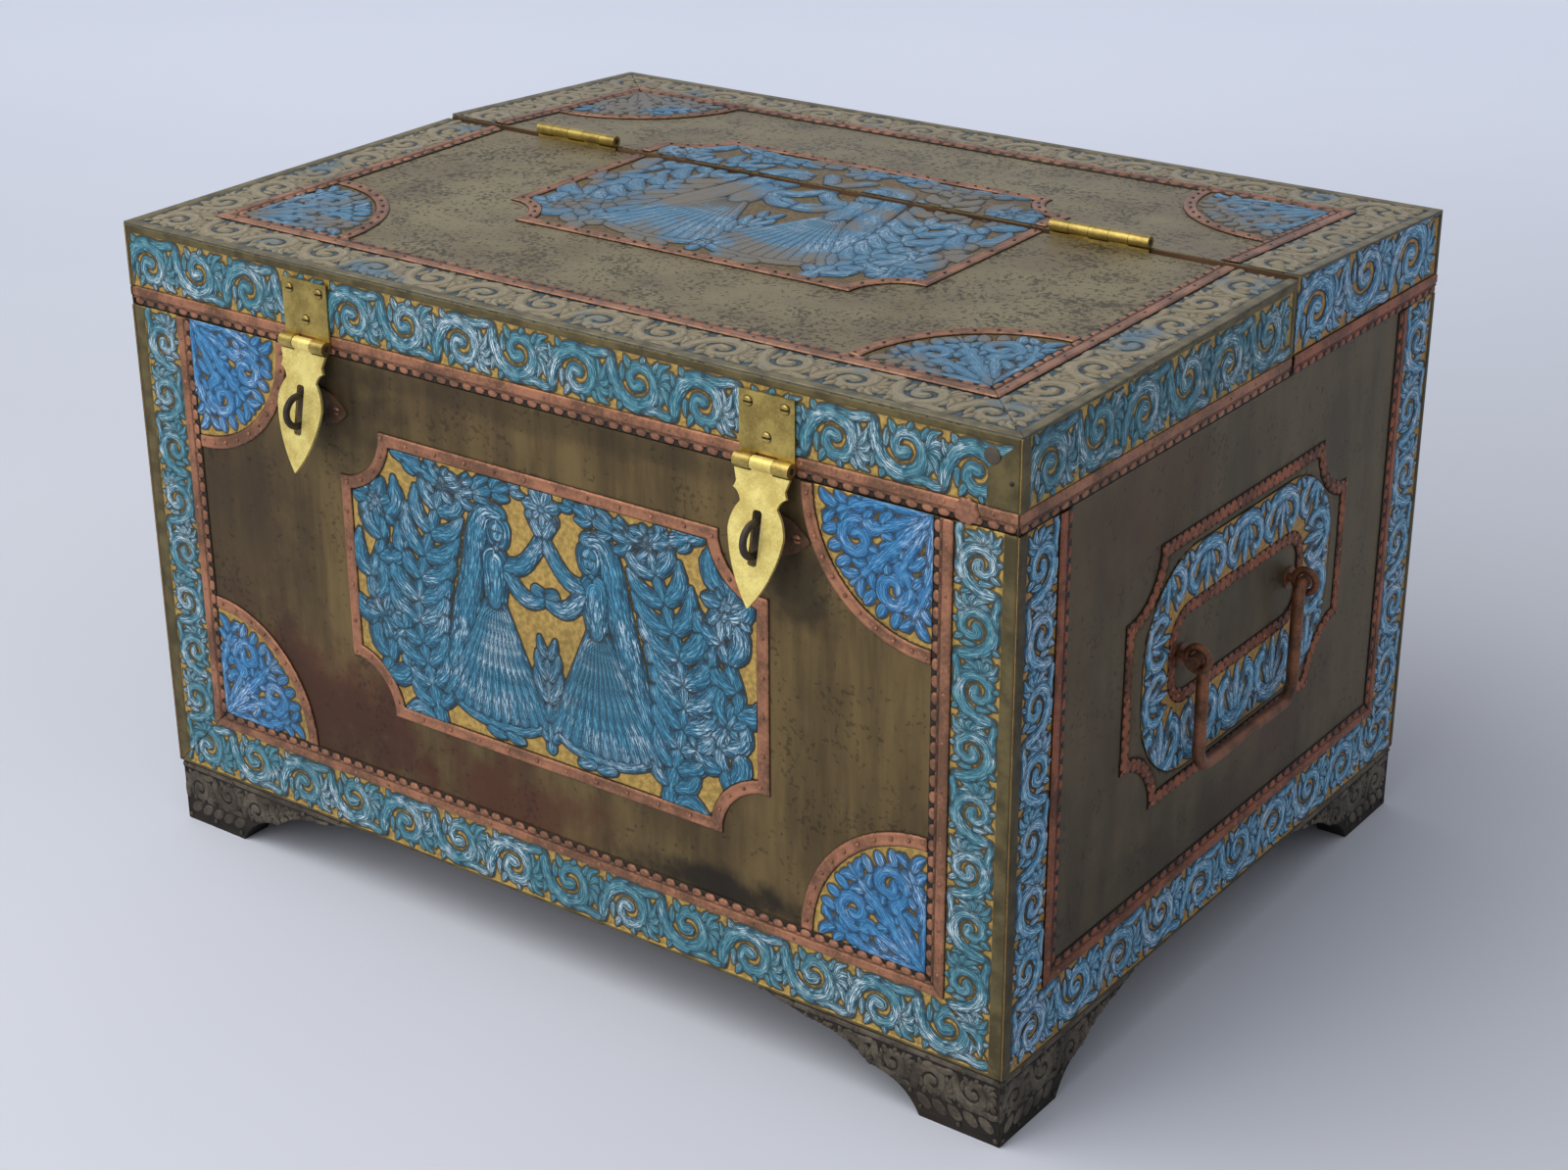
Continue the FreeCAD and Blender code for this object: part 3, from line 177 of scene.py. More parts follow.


# %% [markdown]
# ## Effects that several finishes share
# Old sheet metal shows fine brushing along one way, pits and specks, and large soft stains;
# the same soft patch also paints shadows that parts cast on the sheet.
# Each is a group with named inputs, built once and placed in each material with its own sizes.

# %% Groups: brushing, specks and stains
def make_brushing():
    made, tree, given, out = new_group(
        "brushing", {"Vector": "Vector", "Stretch": "Vector", "Scale": "Float"}, {"Mask": "Float"}
    )
    node = tree.add("ShaderNodeVectorMath", {"operation": "MULTIPLY"})
    tree.put(node.inputs[0], given["Vector"])
    tree.put(node.inputs[1], given["Stretch"])
    tree.put(out["Mask"], tree.noise(node.outputs[0], given["Scale"], 6.0, 0.62))
    return made


def make_specks():
    made, tree, given, out = new_group(
        "specks", {"Vector": "Vector", "Scale": "Float", "Low": "Float", "High": "Float"}, {"Mask": "Float"}
    )
    fine = tree.noise(given["Vector"], given["Scale"], 3.0, 0.6)
    wide = tree.noise(given["Vector"], tree.calc("MULTIPLY", given["Scale"], 0.13), 2.0, 0.5)
    both = tree.calc("ADD", fine, tree.calc("MULTIPLY", tree.calc("SUBTRACT", wide, 0.5), 0.45))
    tree.put(out["Mask"], tree.rise(both, given["Low"], given["High"]))
    return made


def make_spot():
    """A soft round patch about a point, with a ragged edge: it makes stains, and painted shadows where parts cast
    them.
    """
    made, tree, given, out = new_group(
        "spot", {"Vector": "Vector", "Middle": "Vector", "Reach": "Vector", "Ragged": "Float"}, {"Mask": "Float"}
    )
    away = tree.add("ShaderNodeVectorMath", {"operation": "SUBTRACT"})
    tree.put(away.inputs[0], given["Vector"])
    tree.put(away.inputs[1], given["Middle"])
    shares = tree.add("ShaderNodeVectorMath", {"operation": "DIVIDE"})
    tree.put(shares.inputs[0], away.outputs[0])
    tree.put(shares.inputs[1], given["Reach"])
    length = tree.add("ShaderNodeVectorMath", {"operation": "LENGTH"})
    tree.put(length.inputs[0], shares.outputs[0])
    ragged = tree.calc("SUBTRACT", tree.noise(given["Vector"], 38.0, 5.0, 0.6), 0.5)
    ragged = tree.calc("MULTIPLY", ragged, given["Ragged"])
    edge = tree.calc("ADD", length.outputs["Value"], ragged)
    tree.put(out["Mask"], tree.calc("SUBTRACT", 1.0, tree.rise(edge, 0.35, 1.1)))
    return made


BRUSHING, SPECKS, SPOT = make_brushing(), make_specks(), make_spot()
print("groups:", [group.name for group in (BRUSHING, SPECKS, SPOT)])

# %% [markdown]
# ## Finishes of the plain metal and the wood
# A material is a Principled shader whose colour, roughness and bump come from those groups.
# Constant values are set on the shader's own sockets, where an exporter can find them.

# %% A material from its tree
def new_material(name, roughness=0.5, metallic=0.0, specular=0.5):
    material = bpy.data.materials.new(name)
    material.use_nodes = True
    shader = material.node_tree.nodes["Principled BSDF"]
    shader.inputs["Roughness"].default_value = roughness
    shader.inputs["Metallic"].default_value = metallic
    shader.inputs["Specular IOR Level"].default_value = specular
    tree = Tree(material.node_tree)
    place = tree.add("ShaderNodeTexCoord").outputs["Object"]
    return material, tree, shader, place


def bump(tree, shader, height, distance, strength=1.0):
    node = tree.add("ShaderNodeBump", {}, Height=height, Strength=strength, Distance=distance)
    tree.put(shader.inputs["Normal"], node.outputs[0])


# %% Brass sheet, dull and brushed upright
def make_field_brass(name, light, dark, rust, stretch, speck_amount, spots=(), pits=0.0):
    """pits is the strength of the close small dents that a much used top shows."""
    material, tree, shader, place = new_material(name, metallic=0.55, specular=0.4)
    brushing = tree.group(BRUSHING, Vector=place, Stretch=stretch, Scale=9.0).outputs[0]
    clouds = tree.noise(place, 9.0, 5.0, 0.55)
    tone = tree.calc("ADD", tree.calc("MULTIPLY", brushing, 0.6), tree.calc("MULTIPLY", clouds, 0.4))
    colour = tree.mix(tree.rise(tone, 0.36, 0.64), dark, light)
    stain = tree.rise(tree.noise(place, 5.0, 6.0, 0.6), 0.52, 0.75)
    colour = tree.mix(tree.calc("MULTIPLY", stain, 0.45), colour, rust)
    # Patches at given places: stains, and painted shadows that parts cast on the sheet.
    for middle, reach, tint, amount in spots:
        spot = tree.group(SPOT, Vector=place, Middle=middle, Reach=reach, Ragged=1.6).outputs[0]
        colour = tree.mix(tree.calc("MULTIPLY", spot, amount), colour, tint)
    specks = tree.group(SPECKS, Vector=place, Scale=260.0, Low=0.60, High=0.68).outputs[0]
    colour = tree.mix(tree.calc("MULTIPLY", specks, speck_amount), colour, rgb(0.10, 0.085, 0.07))
    if pits:
        dents = tree.group(SPECKS, Vector=place, Scale=300.0, Low=0.555, High=0.60).outputs[0]
        colour = tree.mix(tree.calc("MULTIPLY", dents, pits), colour, rgb(0.20, 0.17, 0.12))
        specks = tree.calc("MAXIMUM", specks, dents)
    tree.put(shader.inputs["Base Color"], colour)
    tree.put(shader.inputs["Roughness"], tree.calc("MULTIPLY_ADD", brushing, 0.25, 0.38))
    height = tree.calc("SUBTRACT", tree.calc("MULTIPLY", brushing, 0.35), specks)
    bump(tree, shader, height, 0.0003, 0.5)
    return material


RUST = rgb(0.34, 0.19, 0.13)
# Near-black tint for soot stains and for painted shadows on the sheets.
SOOT_AND_SHADOW = rgb(0.09, 0.08, 0.07)
front_brass = make_field_brass(
    "front_brass",
    rgb(0.48, 0.40, 0.25),
    rgb(0.32, 0.26, 0.16),
    rgb(0.28, 0.21, 0.15),
    (5.0, 5.0, 0.6),
    0.4,
    (
        ((-0.20, -0.25, 0.135), (0.14, 0.3, 0.07), RUST, 0.85),
        ((-0.20, -0.25, 0.12), (0.12, 0.3, 0.05), SOOT_AND_SHADOW, 0.3),
        ((-0.03, -0.25, 0.115), (0.10, 0.3, 0.035), RUST, 0.8),
        ((-0.26, -0.25, 0.27), (0.07, 0.3, 0.15), rgb(0.25, 0.19, 0.14), 0.6),
        # Painted shadow cast by the left hasp leaf.
        ((-0.155, -0.25, 0.355), (0.06, 0.3, 0.05), SOOT_AND_SHADOW, 0.6),
        ((0.14, -0.25, 0.108), (0.10, 0.3, 0.016), SOOT_AND_SHADOW, 0.85),
        # Painted shadow cast by the right hasp leaf.
        ((0.20, -0.25, 0.335), (0.035, 0.3, 0.045), SOOT_AND_SHADOW, 0.7),
        ((0.0, -0.25, 0.385), (0.30, 0.3, 0.012), SOOT_AND_SHADOW, 0.35),
    ),
)
end_brass = make_field_brass(
    "end_brass",
    rgb(0.43, 0.38, 0.28),
    rgb(0.30, 0.26, 0.18),
    rgb(0.33, 0.22, 0.17),
    (5.0, 3.0, 0.8),
    0.35,
    (
        ((0.35, -0.10, 0.36), (0.3, 0.09, 0.05), RUST, 0.3),
        ((0.35, 0.10, 0.16), (0.3, 0.10, 0.05), RUST, 0.25),
        ((0.35, -0.05, 0.10), (0.3, 0.24, 0.045), SOOT_AND_SHADOW, 0.35),
    ),
)
top_brass = make_field_brass(
    "top_brass",
    rgb(0.57, 0.53, 0.41),
    rgb(0.48, 0.43, 0.32),
    rgb(0.40, 0.35, 0.26),
    (2.0, 3.0, 3.0),
    0.5,
    pits=0.7,
)

# %% Copper, bright brass, dark brass, iron and wood
def make_metal(name, light, dark, scale, roughness, metallic, grain=0.5, spread=(0.35, 0.65)):
    material, tree, shader, place = new_material(name, metallic=metallic)
    clouds = tree.noise(place, scale, 6.0, 0.6)
    fine = tree.noise(place, scale * 12, 3.0, 0.6)
    tone = tree.calc("ADD", tree.calc("MULTIPLY", clouds, 0.7), tree.calc("MULTIPLY", fine, 0.3))
    tree.put(shader.inputs["Base Color"], tree.mix(tree.rise(tone, *spread), dark, light))
    tree.put(shader.inputs["Roughness"], tree.calc("MULTIPLY_ADD", fine, 0.3, roughness - 0.15))
    bump(tree, shader, fine, 0.0002, grain)
    return material


copper = make_metal("copper", rgb(0.69, 0.47, 0.36), rgb(0.42, 0.30, 0.23), 45.0, 0.45, 0.5)
bright_brass = make_metal("bright_brass", rgb(0.74, 0.65, 0.36), rgb(0.54, 0.46, 0.25), 60.0, 0.36, 0.85)
leaf_brass = make_metal("leaf_brass", rgb(0.99, 0.92, 0.57), rgb(0.84, 0.74, 0.41), 60.0, 0.42, 0.6)
dark_brass = make_metal("dark_brass", rgb(0.36, 0.33, 0.28), rgb(0.19, 0.17, 0.14), 35.0, 0.5, 0.6, 0.9)
iron = make_metal("iron", rgb(0.30, 0.25, 0.21), rgb(0.13, 0.11, 0.10), 70.0, 0.6, 0.4, 0.9)
staple_bronze = make_metal("staple_bronze", rgb(0.42, 0.31, 0.22), rgb(0.22, 0.17, 0.12), 60.0, 0.5, 0.5, 0.9)
handle_metal = make_metal("handle_metal", rgb(0.57, 0.37, 0.25), rgb(0.28, 0.19, 0.13), 50.0, 0.45, 0.5, 0.9)
painted = make_metal("painted_brass", rgb(0.20, 0.48, 0.64), rgb(0.12, 0.34, 0.52), 60.0, 0.5, 0.0)


def make_wood(name, dark, light):
    material, tree, shader, place = new_material(name, roughness=0.72, specular=0.3)
    grain = tree.noise(tree.stretched(place, (1.5, 22.0, 22.0)), 7.0, 8.0, 0.6)
    tree.put(shader.inputs["Base Color"], tree.mix(tree.rise(grain, 0.3, 0.7), dark, light))
    bump(tree, shader, grain, 0.0004, 0.5)
    return material


wood = make_wood("wood", rgb(0.24, 0.16, 0.10), rgb(0.42, 0.30, 0.20))
foot_wood = make_wood("foot_wood", rgb(0.09, 0.075, 0.06), rgb(0.19, 0.16, 0.13))

# %% Which plain finish each node takes
OWN_FINISH = {
    "left_end_sheet": end_brass,
    "right_end_sheet": end_brass,
    "lid_top_sheet": top_brass,
    "rear_top_sheet": top_brass,
    "left_hasp_leaf": leaf_brass,
    "right_hasp_leaf": leaf_brass,
    "front_left_foot": foot_wood,
    "front_right_foot": foot_wood,
    "rear_left_foot": foot_wood,
    "rear_right_foot": foot_wood,
}
print("plain finishes made")

# %% [markdown]
# ## The studio
# A pale floor that rises into a pale wall behind, one large soft lamp above the front left,
# a weaker one at the front, and a plain pale sky. The floor keeps the chest's soft shadow.

# %% Floor, lamps and sky
floor_low = cad_low.z


def make_floor():
    half, back, high, bend = 30.0, 4.0, 4.0, 1.2
    profile = [(-half, 0), (back - bend, 0)]
    profile += [
        (back - bend + bend * math.sin(t), bend * (1 - math.cos(t)))
        for t in (math.pi / 2 * i / 12 for i in range(1, 13))
    ]
    profile += [(back, high)]
    vertices = [(x, y, z + floor_low) for x in (-half, half) for y, z in profile]
    count = len(profile)
    faces = [(i, i + count, i + count + 1, i + 1) for i in range(count - 1)]
    walls = [[(x, y, z) for y, z in profile + [(-half, high)]] for x in (-half, half)]
    walls.append([(-half, -half, 0), (half, -half, 0), (half, -half, high), (-half, -half, high)])
    for wall in walls:
        faces.append(tuple(range(len(vertices), len(vertices) + len(wall))))
        vertices += [(x, y, z + floor_low) for x, y, z in wall]
    mesh = bpy.data.meshes.new("studio_floor")
    mesh.from_pydata(vertices, [], faces)
    for face in mesh.polygons[: count - 1]:
        face.use_smooth = True
    floor = bpy.data.objects.new("studio_floor", mesh)
    bpy.context.scene.collection.objects.link(floor)
    material, tree, shader, place = new_material("studio_paper", roughness=0.9, specular=0.1)
    cloud = tree.noise(place, 1.2, 4.0, 0.5)
    tree.put(shader.inputs["Base Color"], tree.mix(cloud, rgb(0.79, 0.81, 0.85), rgb(0.84, 0.85, 0.89)))
    # Painted light: the paper glows for the camera and in reflections, more strongly towards the back.
    rays = tree.add("ShaderNodeLightPath").outputs
    mirrored = tree.calc("MAXIMUM", rays["Is Glossy Ray"], rays["Is Transmission Ray"])
    paper_glow = tree.calc("MAXIMUM", rays["Is Camera Ray"], mirrored)
    parts = tree.add("ShaderNodeSeparateXYZ", {}, Vector=place).outputs
    far = tree.rise(tree.calc("MULTIPLY_ADD", parts[0], -0.55, parts[1]), 0.0, 3.2)
    tree.put(shader.inputs["Emission Color"], rgb(0.80, 0.83, 0.90))
    tree.put(shader.inputs["Emission Strength"], tree.calc("MULTIPLY", paper_glow, tree.calc("MULTIPLY", far, 0.46)))
    mesh.materials.append(material)


def make_lamp(name, place, target, size, power, colour=(1, 1, 1)):
    lamp = bpy.data.lights.new(name, "AREA")
    lamp.size = size
    lamp.energy = power
    lamp.color = colour
    made = bpy.data.objects.new(name, lamp)
    made.location = place
    made.rotation_euler = (Vector(target) - Vector(place)).to_track_quat("-Z", "Y").to_euler()
    bpy.context.scene.collection.objects.link(made)


make_floor()
CHEST_MIDDLE = (cad_low + cad_high) / 2
make_lamp("soft_overhead", (-0.7, -1.1, 2.4), CHEST_MIDDLE, 2.2, 42, (1.0, 0.98, 0.95))
make_lamp("soft_front", (-0.3, -3.0, 1.3), CHEST_MIDDLE, 2.0, 22)
world = bpy.data.worlds.new("pale_room")
bpy.context.scene.world = world
world.use_nodes = True
world.node_tree.nodes["Background"].inputs["Color"].default_value = (0.86, 0.88, 0.92, 1)
world.node_tree.nodes["Background"].inputs["Strength"].default_value = 0.55
bpy.context.scene.view_settings.view_transform = "Standard"

# %% Dress every CAD node
def dress(node, material):
    mesh = cad_nodes[node].data
    mesh.materials.clear()
    mesh.materials.append(material)


WOODEN = ("board", "batten", "rim", "rail", "foot")
for node in cad_nodes:
    if node in OWN_FINISH:
        dress(node, OWN_FINISH[node])
    elif node.endswith(WOODEN):
        dress(node, wood)
    elif "copper" in node:
        dress(node, copper)
    elif "bands" in node or "fans" in node or "medallion" in node:
        dress(node, painted)
    elif node == "foot_sheets":
        dress(node, dark_brass)
    elif node.endswith("sheet") or node.endswith("rim_sheets"):
        dress(node, front_brass)
    elif "handle" in node:
        dress(node, handle_metal)
    elif "staples" in node or "pins" in node:
        dress(node, iron)
    elif "staple_plates" in node:
        dress(node, staple_bronze)
    else:
        dress(node, bright_brass)

# %% [markdown]
# ## Reading a face of the frame
# The painted bands, fans and medallions of the frame are flat plates. Each is replaced by an
# embossed one with the very same outline. So the outline is read back from the frame: the
# triangles of the plate's outer face are found by their normal, and the edges that only one
# of them has are its rim.

# %% Faces and outlines
class Face:
    """A flat side of the chest: a way across, a way up and a way out."""

    def __init__(self, node, across, out):
        across = Vector(across)
        corners, normals = triangles_of(node)
        areas = np.linalg.norm(np.cross(corners[:, 1] - corners[:, 0], corners[:, 2] - corners[:, 0]), axis=1)
        facing = normals @ np.array(out) > 0.9
        self.out = Vector(normals[(areas * facing).argmax()])
        self.across = across
        self.up = self.out.cross(across).normalized()
        self.axes = np.array([self.across, self.up, self.out])

    def flat(self, points):
        return points @ self.axes.T

    def solid(self, flat_points):
        return flat_points @ self.axes


def triangles_of(node):
    mesh = cad_nodes[node].data
    points = np.empty(len(mesh.vertices) * 3)
    mesh.vertices.foreach_get("co", points)
    points = points.reshape(-1, 3)
    mesh.calc_loop_triangles()
    index = np.empty(len(mesh.loop_triangles) * 3, int)
    mesh.loop_triangles.foreach_get("vertices", index)
    corners = points[index.reshape(-1, 3)]
    normals = np.cross(corners[:, 1] - corners[:, 0], corners[:, 2] - corners[:, 0])
    length = np.linalg.norm(normals, axis=1, keepdims=True)
    return corners, normals / np.maximum(length, 1e-15)


def plates_on(node, face, sunk=0.0):
    """Height of a node's outer face, or of the one sunk this far, and its regions:
    (outer loop, holes) each."""
    corners, normals = triangles_of(node)
    heights = corners @ np.array(face.out)
    facing = normals @ np.array(face.out) > 0.999
    level = heights[facing].max() - sunk
    chosen = facing & (np.abs(heights.mean(1) - level) < 0.05 * MM)
    flat = face.flat(corners[chosen].reshape(-1, 3))[:, :2]
    keys, index = np.unique(np.round(flat / (0.001 * MM)).astype(int), axis=0, return_inverse=True)
    index = index.ravel()
    places = np.zeros((len(keys), 2))
    places[index] = flat
    after = {}
    edges = set()
    for a, b, c in index.reshape(-1, 3):
        edges.update(((a, b), (b, c), (c, a)))
    for a, b in edges:
        if (b, a) not in edges:
            after[a] = b
    loops = []
    while after:
        start, here = next(iter(after.items()))
        loop = [start]
        del after[start]
        while here != start:
            loop.append(here)
            here = after.pop(here)
        loops.append(places[loop])
    outers = sorted((loop for loop in loops if signed_area(loop) > 0), key=signed_area)
    regions = [(outer, []) for outer in outers]
    for hole in (loop for loop in loops if signed_area(loop) < 0):
        next(holes for outer, holes in regions if inside(hole[:1], [outer])[0]).append(hole)
    return level, regions


def signed_area(loop):
    after = np.roll(loop, -1, 0)
    return 0.5 * float((loop[:, 0] * after[:, 1] - loop[:, 1] * after[:, 0]).sum())


def inside(points, loops):
    x, y = points[:, 0], points[:, 1]
    odd = np.zeros(len(points), bool)
    for loop in loops:
        for (ax, ay), (bx, by) in zip(loop, np.roll(loop, -1, 0)):
            if ay != by:
                odd ^= ((ay > y) != (by > y)) & (x < ax + (y - ay) / (by - ay) * (bx - ax))
    return odd


def rim_measure(points, loops):
    """Distance from each point to the nearest of the loops' edges, and how far along they lie."""
    best, along, mile = np.full(len(points), np.inf), np.zeros(len(points)), 0.0
    for loop in loops:
        for a, b in zip(loop, np.roll(loop, -1, 0)):
            way = b - a
            share = np.clip(((points - a) @ way) / max(way @ way, 1e-18), 0, 1)
            away = np.linalg.norm(points - a - share[:, None] * way, axis=1)
            length = np.linalg.norm(way)
            along = np.where(away < best, mile + share * length, along)
            best = np.minimum(best, away)
            mile += length
    return best, along


def clearance(points, loops):
    return rim_measure(points, loops)[0]


# %% [markdown]
# ## Strokes: how the ornament is drawn
# A chaser works a leaf as one swelling line: narrow at its root, full in its belly and
# pointed at its tip. So the whole ornament is drawn in strokes, which are smooth lines with a
# half width at each point. For every point of a plate we then measure how deep it lies in the
# nearest stroke, how far along and across it. Relief, paint, outlines and brush marks all
# come from these four numbers.

# %% Strokes
class Stroke:
    def __init__(self, points, halves, cut=False):
        self.points = np.asarray(points, float)
        self.halves = np.asarray(halves, float)
        self.cut = cut

    def put(self, place, scale):
        return Stroke(place(self.points), self.halves * scale, self.cut)


def smooth_line(points, count=14):
    """A smooth line through a few points."""
    p = np.asarray(points, float)
    at = np.linspace(0, len(p) - 1, count)
    i = np.minimum(at.astype(int), len(p) - 2)
    t = (at - i)[:, None]
    ends = np.vstack([2 * p[0] - p[1], p, 2 * p[-1] - p[-2]])
    a, b, c, d = ends[i], ends[i + 1], ends[i + 2], ends[i + 3]
    curve = (2 * a - 5 * b + 4 * c - d) * t**2 + (3 * b - a - 3 * c + d) * t**3
    return 0.5 * (2 * b + (c - a) * t + curve)


def stem(points, halves, count=18, cut=False):
    """A stroke whose half widths are spread evenly along it."""
    shares = np.linspace(0, 1, len(halves))
    return Stroke(smooth_line(points, count), np.interp(np.linspace(0, 1, count), shares, halves), cut)


def leaf(points, half, lobes=0, root=0.5, tip=0.12, belly=0.45, count=12):
    """A stroke that swells to its belly and ends in a point, with lobed edges if wanted."""
    t = np.linspace(0, 1, count)
    swell = np.where(t < belly, t / belly, (1 - t) / (1 - belly))
    ends = np.where(t < belly, root, tip)
    halves = half * (ends + (1 - ends) * np.sin(swell * math.pi / 2))
    if lobes:
        halves = halves * (0.78 + 0.22 * np.abs(np.cos(t * math.pi * lobes)))
    return Stroke(smooth_line(points, count), halves)


def dot(x, y, half, cut=False):
    return Stroke([(x, y), (x + half * 0.05, y)], [half, half], cut)


class Measure:
    """All strokes of a plate as short pieces, ready to be measured from many points."""

    def __init__(self, strokes, grow=0.0):
        steps = [s.points[1:] - s.points[:-1] for s in strokes]
        lengths = [np.linalg.norm(step, axis=1) for step in steps]
        self.start = np.concatenate([s.points[:-1] for s in strokes])
        self.step = np.concatenate(steps)
        self.half = np.concatenate([s.halves[:-1] + (0 if s.cut else grow) for s in strokes])
        self.growth = np.concatenate([s.halves[1:] - s.halves[:-1] for s in strokes])
        self.length = np.maximum(np.concatenate(lengths), 1e-9)
        self.run = np.concatenate([np.cumsum(n) - n for n in lengths])
        self.stroke = np.concatenate([np.full(len(n), i) for i, n in enumerate(lengths)])
        self.cut = np.concatenate([np.full(len(n), s.cut) for n, s in zip(lengths, strokes)])

    def at(self, points, cell, reach):
        """Depth in the leaf, gap to the next leaf, share across and run along, at each point."""
        leafs, gaps = np.full(len(points), -reach), np.full(len(points), reach)
        across, run = np.zeros(len(points)), np.zeros(len(points))
        keys = np.floor(points / cell).astype(int)
        keys -= keys.min(0)
        order = np.argsort(keys[:, 0] * (keys[:, 1].max() + 1) + keys[:, 1], kind="stable")
        sorted_keys = keys[order]
        breaks = np.flatnonzero((np.diff(sorted_keys, axis=0) != 0).any(1)) + 1
        middle = self.start + self.step / 2
        grip = self.length / 2 + np.maximum(self.half, self.half + self.growth) + reach
        for block in np.split(order, breaks):
            p = points[block]
            away = np.maximum(np.maximum(p.min(0) - middle, middle - p.max(0)), 0)
            near = np.flatnonzero((away**2).sum(1) < grip**2)
            if not len(near):
                continue
            way, length = self.step[near], self.length[near]
            rel = p[:, None, :] - self.start[near]
            share = np.clip((rel * way).sum(2) / length**2, 0, 1)
            off = np.sqrt(((rel - share[..., None] * way) ** 2).sum(2))
            half = self.half[near] + share * self.growth[near]
            cuts = self.cut[near]
            cut_depth = np.where(cuts, half - off, -reach).max(1)
            depth = np.where(cuts, -reach, half - off)
            first = np.flatnonzero(np.diff(self.stroke[near], prepend=-1) != 0)
            best_of_each = np.maximum.reduceat(depth, first, axis=1)
            rows, pick = np.arange(len(p)), depth.argmax(1)
            deepest = depth[rows, pick]
            if best_of_each.shape[1] > 1:
                next_best = np.partition(best_of_each, -2, axis=1)[:, -2]
                gaps[block] = np.minimum(deepest - next_best, reach)
            turn = way[pick, 0] * rel[rows, pick, 1] - way[pick, 1] * rel[rows, pick, 0]
            across[block] = np.sign(turn) * off[rows, pick] / np.maximum(half[rows, pick], 1e-9)
            run[block] = self.run[near][pick] + share[rows, pick] * length[pick]
            leafs[block] = np.maximum(np.minimum(deepest, -cut_depth), -reach)
        return leafs, gaps, across, run


# %% [markdown]
# ## The embossed plate
# A plate becomes a fine net of triangles inside its own outline. The net's points are pushed
# inwards where the ground lies low and left at the frame's surface on the leaves, so no point
# stands proud of the frame. A skirt and a plain back close it.

# %% Emboss a plate
RELIEF = 1.15 * MM
BEVEL = 1.3 * MM
REACH = 4.0 * MM
PLATE_BACK = 1.5 * MM
TOOTH_DEPTH = 1.9 * MM
NARROW = 3 * MM


def resampled(loop, spacing):
    points = []
    for a, b in zip(loop, np.roll(loop, -1, 0)):
        count = max(1, int(round(np.linalg.norm(b - a) / spacing)))
        points += [a + (b - a) * i / count for i in range(count)]
    return np.array(points)


def filled(places, edges, loops):
    """Triangles between the places, with the edges kept, inside the loops."""
    found = delaunay_2d_cdt([Vector(p) for p in places], edges, [], 1, 1e-9, False)
    spots = np.array([tuple(p) for p in found[0]])
    corners = np.array(found[2])
    return spots, corners[inside(spots[corners].mean(1), loops)]


def net(loops, spacing):
    """Points and triangles that fill the loops."""
    rims = [resampled(loop, spacing) for loop in loops]
    edges, count = [], 0
    for rim in rims:
        edges += [(count + i, count + (i + 1) % len(rim)) for i in range(len(rim))]
        count += len(rim)
    low, high = loops[0].min(0), loops[0].max(0)
    rows = np.arange(low[1], high[1], spacing * 0.866)
    columns = np.arange(low[0], high[0], spacing)
    x, y = np.meshgrid(columns, rows)
    x[1::2] += spacing / 2
    grid = np.stack([x.ravel(), y.ravel()], 1)
    grid = grid[inside(grid, loops)]
    grid = grid[clearance(grid, loops) > 0.45 * spacing]
    return filled(np.vstack(rims + [grid]), edges, loops)


def rim_edges(corners):
    edges = np.vstack([corners[:, [0, 1]], corners[:, [1, 2]], corners[:, [2, 0]]])
    size = edges.max() + 1
    forward = edges[:, 0] * size + edges[:, 1]
    backward = edges[:, 1] * size + edges[:, 0]
    return edges[~np.isin(forward, backward)]


def smooth_rise(value, low, high):
    t = np.clip((value - low) / (high - low), 0, 1)
    return t * t * (3 - 2 * t)


def leaf_height(depth, gap, across):
    """Share of the full relief: domed leaves with a sunk vein, and a groove between leaves."""
    dome = smooth_rise(depth, -0.1 * MM, BEVEL) * (1 - 0.20 * across**2)
    vein = 0.16 * np.exp(-((across / 0.16) ** 2)) * smooth_rise(depth, 0.5 * MM, 1.5 * MM)
    groove = 0.55 * (1 - smooth_rise(gap, 0.0, 1.2 * MM)) * (depth > 0)
    return np.clip(dome - vein - groove, 0, 1)


def lipped_height(depth):
    """A flat strip with a raised lip along its edges."""
    lip = np.exp(-(((depth - 1.7 * MM) / (0.8 * MM)) ** 2))
    return np.clip(0.5 * smooth_rise(depth, 0.0, 0.9 * MM) + 0.5 * lip, 0, 1)


